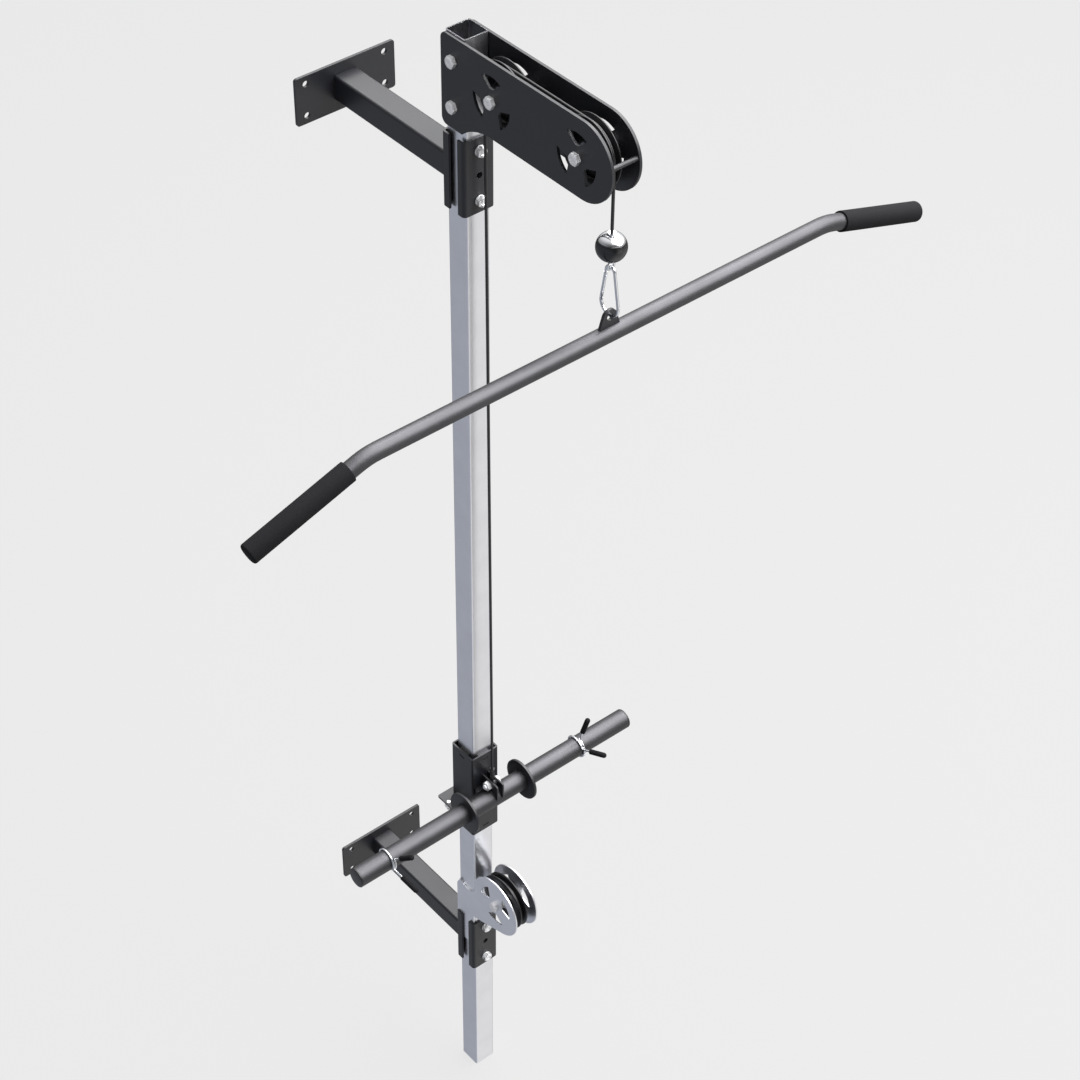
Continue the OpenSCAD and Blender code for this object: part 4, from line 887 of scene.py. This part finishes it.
mouth = sqrt(BALL_R ** 2 - HOLE ** 2)
seam = sqrt(BALL_R ** 2 - CAP_Z ** 2) - 0.5
base = [(HOLE, CAP_Z - 0.2), (HOLE, -mouth)] + ball_arc(-mouth, CAP_Z - 1.0) + [(seam, CAP_Z - 0.2)]
cap = [(HOLE, mouth), (HOLE, CAP_Z), (seam, CAP_Z)] + ball_arc(CAP_Z + 0.5, mouth)
where = place(0, BAR_TOP_Y, BALL_Z)
for half, profile, slot in (("ball_base", base, "gloss_black"), ("ball_cap", cap, "chrome")):
    piece(half + "_turned", put(turned(profile, 96, ring=True), where), slot, "ball_stop", half)
print("ball across, mm:", 2 * BALL_R)

# %% [markdown]
# The cable keeps its length, but three stretches of it show differently as the carriage rises:
# the rise gets shorter, the run over the pulleys stays, and the drop gets longer. One piece can't
# do both, so each stretch is a swept tube of its own. The rise runs straight from the carriage's
# lug to where it leaves the rear pulley, the drop hangs straight from the front pulley to the
# ball, and the run over the pulleys is swept along arcs. Its eye is closed by a ferrule with three
# crimped grooves.

# %% Cable
CABLE_R = 2.5
GROOVE_R = 48.0
FERRULE_START, FERRULE_END = 15, 39


def wheel_point(y, angle):
    """Where the cable's middle lies on a head pulley, at an angle round its axle."""
    return Vector((0, y + GROOVE_R * cos(angle), AXLE_Z + GROOVE_R * sin(angle)))


def cable_piece(name, line, body):
    """One stretch of the cable, which replaces the CAD node of that name."""
    return piece(name + "_coated", put(swept(line, CABLE_R, 20), place()), "cable_black", body, name)


reach = hypot(LUG_Y - REAR_Y, LUG_Z - AXLE_Z)
leave = atan2(LUG_Z - AXLE_Z, LUG_Y - REAR_Y) + acos(GROOVE_R / reach)
over = [wheel_point(REAR_Y, leave + (pi / 2 - leave) * k / 24) for k in range(25)]
over += [Vector((0, REAR_Y + (FRONT_Y - REAR_Y) * k / 8, AXLE_Z + GROOVE_R)) for k in range(1, 8)]
over += [wheel_point(FRONT_Y, pi / 2 + pi / 2 * k / 24) for k in range(25)]
cable_piece("cable_over_pulleys", over, "tower")
lug = Vector((0, LUG_Y, LUG_Z))
top = wheel_point(REAR_Y, leave)
rising = (top - lug).normalized()
run = (top - lug).length
rise = [lug + rising * (FERRULE_END + (run - FERRULE_END) * k / 40) for k in range(41)]
rope = cable_piece("cable_rise", rise, "tower")
height = rise[-1].z - rise[0].z
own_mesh(rope)
drop_low = BALL_Z + BALL_R + 1
drop = [Vector((0, BAR_TOP_Y, AXLE_Z + (drop_low - AXLE_Z) * k / 24)) for k in range(25)]
rope = cable_piece("cable_drop", drop, None)
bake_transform(rope)
ferrule = [(0, 0)] + rounded([(2.5, 0), (4.5, 0), (4.5, 24)], [0, 1, 0])[:-1]
for z in (5, 12, 19):
    ferrule += [(4.5, z - 1.6), (4.0, z - 0.6), (4.0, z + 0.6), (4.5, z + 1.6)]
ferrule += [(4.5, 23.2), (3.7, 24), (0, 24)]
tilt = rising.to_track_quat("Z", "Y").to_matrix().to_4x4()
where = place() @ Matrix.Translation(lug + rising * FERRULE_START) @ tilt
piece("cable_ferrule_crimped", put(turned(ferrule, 40), where), "cable_black", "carriage", "cable_ferrule")
arcs = GROOVE_R * (pi / 2 + pi / 2 - leave)
cable_mm = run + arcs + REAR_Y - FRONT_Y + AXLE_Z - drop_low
print("cable length, m:", round(cable_mm / 1000, 3))

# %% [markdown]
# The carriage comes down on a rubber stop that is bolted to the post's back. It is moulded, with
# a rounded rim and a low waist, so it is turned from a profile, and its bolt is made of the same
# shank and hexagon as all the others.

# %% Rubber stop
STOP_Z = -1676.3
STOP_FRONT, STOP_BACK = 22.5, 37.5
STUD = 23
stop = rounded([(4.05, STOP_FRONT), (10, STOP_FRONT), (9.4, 30), (10, STOP_BACK), (4.05, STOP_BACK)],
               [0, 0.8, 3, 1.2, 0])
bumper = put(turned(stop, 48, ring=True), place(0, 0, STOP_Z, ALONG_Y))
piece("stop_bumper_moulded", bumper, "rubber", "tower", "stop_bumper")
stud = put(shank(8, STUD, 1, SMALL_PITCH), place(0, STOP_BACK - STUD, STOP_Z, ALONG_Y))
cap_head = put(hexagon(13, 5), place(0, STOP_BACK, STOP_Z, ALONG_Y))
piece("stop_bolt_forged", together([stud, cap_head]), "fastener_zinc", "tower", "stop_bolt")
print("stop below the post's top, mm:", -STOP_Z)

# %% [markdown]
# The photograph is a catalogue picture on a plain pale ground, lit from large soft sources. The
# camera's own rays see one pale grey. Mirror rays see a dark room with three wide soft patches of
# light, whose middles are given as directions: one low in front to the right, which fills the
# post's front, a weaker cool one to the left, and one overhead. Lamps as wide as these patches
# would make the matt parts too bright, so the patches are for mirror rays alone. All other rays
# get an even light that is weaker from below.

# %% World
PALE = "#ececec"
world = bpy.data.worlds.new("pale_studio")
bpy.context.scene.world = world
world.use_nodes = True
tree = world.node_tree
tree.nodes.clear()
where = add(tree, "ShaderNodeTexCoord")
PATCHES = [
    # direction of the middle, where its edge and its full light lie, light, colour
    ((0.455, -0.586, -0.671), 0.55, 1.00, 0.78, "#fffdfa"),
    ((-0.783, 0.000, -0.622), 0.10, 0.77, 0.38, "#ebf1ff"),
    ((0.454, 0.300, 0.839), 0.00, 0.75, 0.95, "#ffffff"),
]
lit = add(tree, "ShaderNodeBackground", {"Color": linear("#ffffff"), "Strength": 0.08})
for middle, edge, full, level, tint in PATCHES:
    toward = add(tree, "ShaderNodeVectorMath", {0: where.outputs["Generated"], 1: middle},
                 operation="DOT_PRODUCT")
    soft = add(tree, "ShaderNodeMapRange", {"Value": toward.outputs["Value"], "From Min": edge,
                                            "From Max": full, "To Min": 0.0, "To Max": level},
               interpolation_type="SMOOTHSTEP")
    patch = add(tree, "ShaderNodeBackground", {"Color": linear(tint),
                                               "Strength": soft.outputs["Result"]})
    lit = add(tree, "ShaderNodeAddShader", {0: lit.outputs[0], 1: patch.outputs["Background"]})
height = add(tree, "ShaderNodeVectorMath", {0: where.outputs["Generated"], 1: (0.0, 0.0, 1.0)},
             operation="DOT_PRODUCT")
spread = add(tree, "ShaderNodeMapRange", {"Value": height.outputs["Value"], "From Min": -1.0,
                                          "From Max": 1.0, "To Min": 0.34, "To Max": 0.75})
for_matt = add(tree, "ShaderNodeBackground", {"Color": linear("#ffffff"),
                                              "Strength": spread.outputs["Result"]})
for_camera = add(tree, "ShaderNodeBackground", {"Color": linear(PALE), "Strength": 1.0})
rays = add(tree, "ShaderNodeLightPath")
unseen = add(tree, "ShaderNodeMixShader", {0: rays.outputs["Is Glossy Ray"],
                                           1: for_matt.outputs["Background"],
                                           2: lit.outputs["Shader"]})
sky = add(tree, "ShaderNodeMixShader", {0: rays.outputs["Is Camera Ray"], 1: unseen.outputs["Shader"],
                                        2: for_camera.outputs["Background"]})
add(tree, "ShaderNodeOutputWorld", {"Surface": sky.outputs["Shader"]})
print("patches of light for mirror rays:", len(PATCHES))

# %% [markdown]
# The floor lies just under the post. A plain matt floor would fade away from the lamps and show
# its far edge. So most of what the camera sees of it is its own pale light, which stays one grey,
# and a matt part on top of that keeps the tower's soft shadow. Other rays find it darker, and
# mirror rays pass it by.

# %% Floor
UNDER_POST, FLOOR_HALF = 0.0002, 14.0
floor_z = cad_box[0].z - UNDER_POST
work = bmesh.new()
bmesh.ops.create_grid(work, x_segments=8, y_segments=8, size=FLOOR_HALF,
                      matrix=Matrix.Translation((0, 0, floor_z)))
mesh = bpy.data.meshes.new("studio_floor")
work.to_mesh(mesh)
work.free()
floor = bpy.data.objects.new("studio_floor", mesh)
bpy.context.scene.collection.objects.link(floor)
floor.visible_glossy = False
paper, tree = new_material("studio_paper_pale")
rays = add(tree, "ShaderNodeLightPath")
glow = add(tree, "ShaderNodeMapRange", {"Value": rays.outputs["Is Camera Ray"], "To Min": 0.25,
                                        "To Max": 0.89})
own = add(tree, "ShaderNodeEmission", {"Color": linear(PALE), "Strength": glow.outputs["Result"]})
matt = add(tree, "ShaderNodeBsdfDiffuse", {"Color": linear("#343434")})
both = add(tree, "ShaderNodeAddShader", {0: own.outputs["Emission"], 1: matt.outputs["BSDF"]})
add(tree, "ShaderNodeOutputMaterial", {"Surface": both.outputs["Shader"]})
mesh.materials.append(paper)
print("floor at, m:", round(floor_z, 4))

# %% [markdown]
# Two wide lamps hang overhead, both a little to the right. The front one draws the soft band along
# the bars, and the back one stands where the black coat's upward faces mirror it as light grey. A
# small weak one fills the front. Their size matters more than their power: a wide lamp gives a
# wide soft band on a bar, and a small one a thin hard line.

# %% Lamps
def soft_lamp(name, size, watts, where, target):
    """A square area lamp that points at its target."""
    light = bpy.data.lights.new(name, "AREA")
    light.size = size
    light.energy = watts
    lamp = bpy.data.objects.new(name, light)
    lamp.location = where
    lamp.rotation_euler = (Vector(target) - Vector(where)).to_track_quat("-Z", "Y").to_euler()
    bpy.context.scene.collection.objects.link(lamp)


MIDDLE = Vector((0, -0.5, -1.2))
LAMPS = [
    # name, width in metres, watts, place
    ("overhead_front", 6.4, 800.0, MIDDLE + 5 * Vector((0.455, -0.28, 0.845))),
    ("overhead_back", 6.0, 510.0, MIDDLE + 8 * Vector((0.38, 0.40, 0.835))),
    ("fill", 2.0, 6.0, Vector((0.8, -3.4, -0.4))),
]
for name, width, watts, where in LAMPS:
    soft_lamp(name, width, watts, where, MIDDLE)
print("lamps:", len(LAMPS))
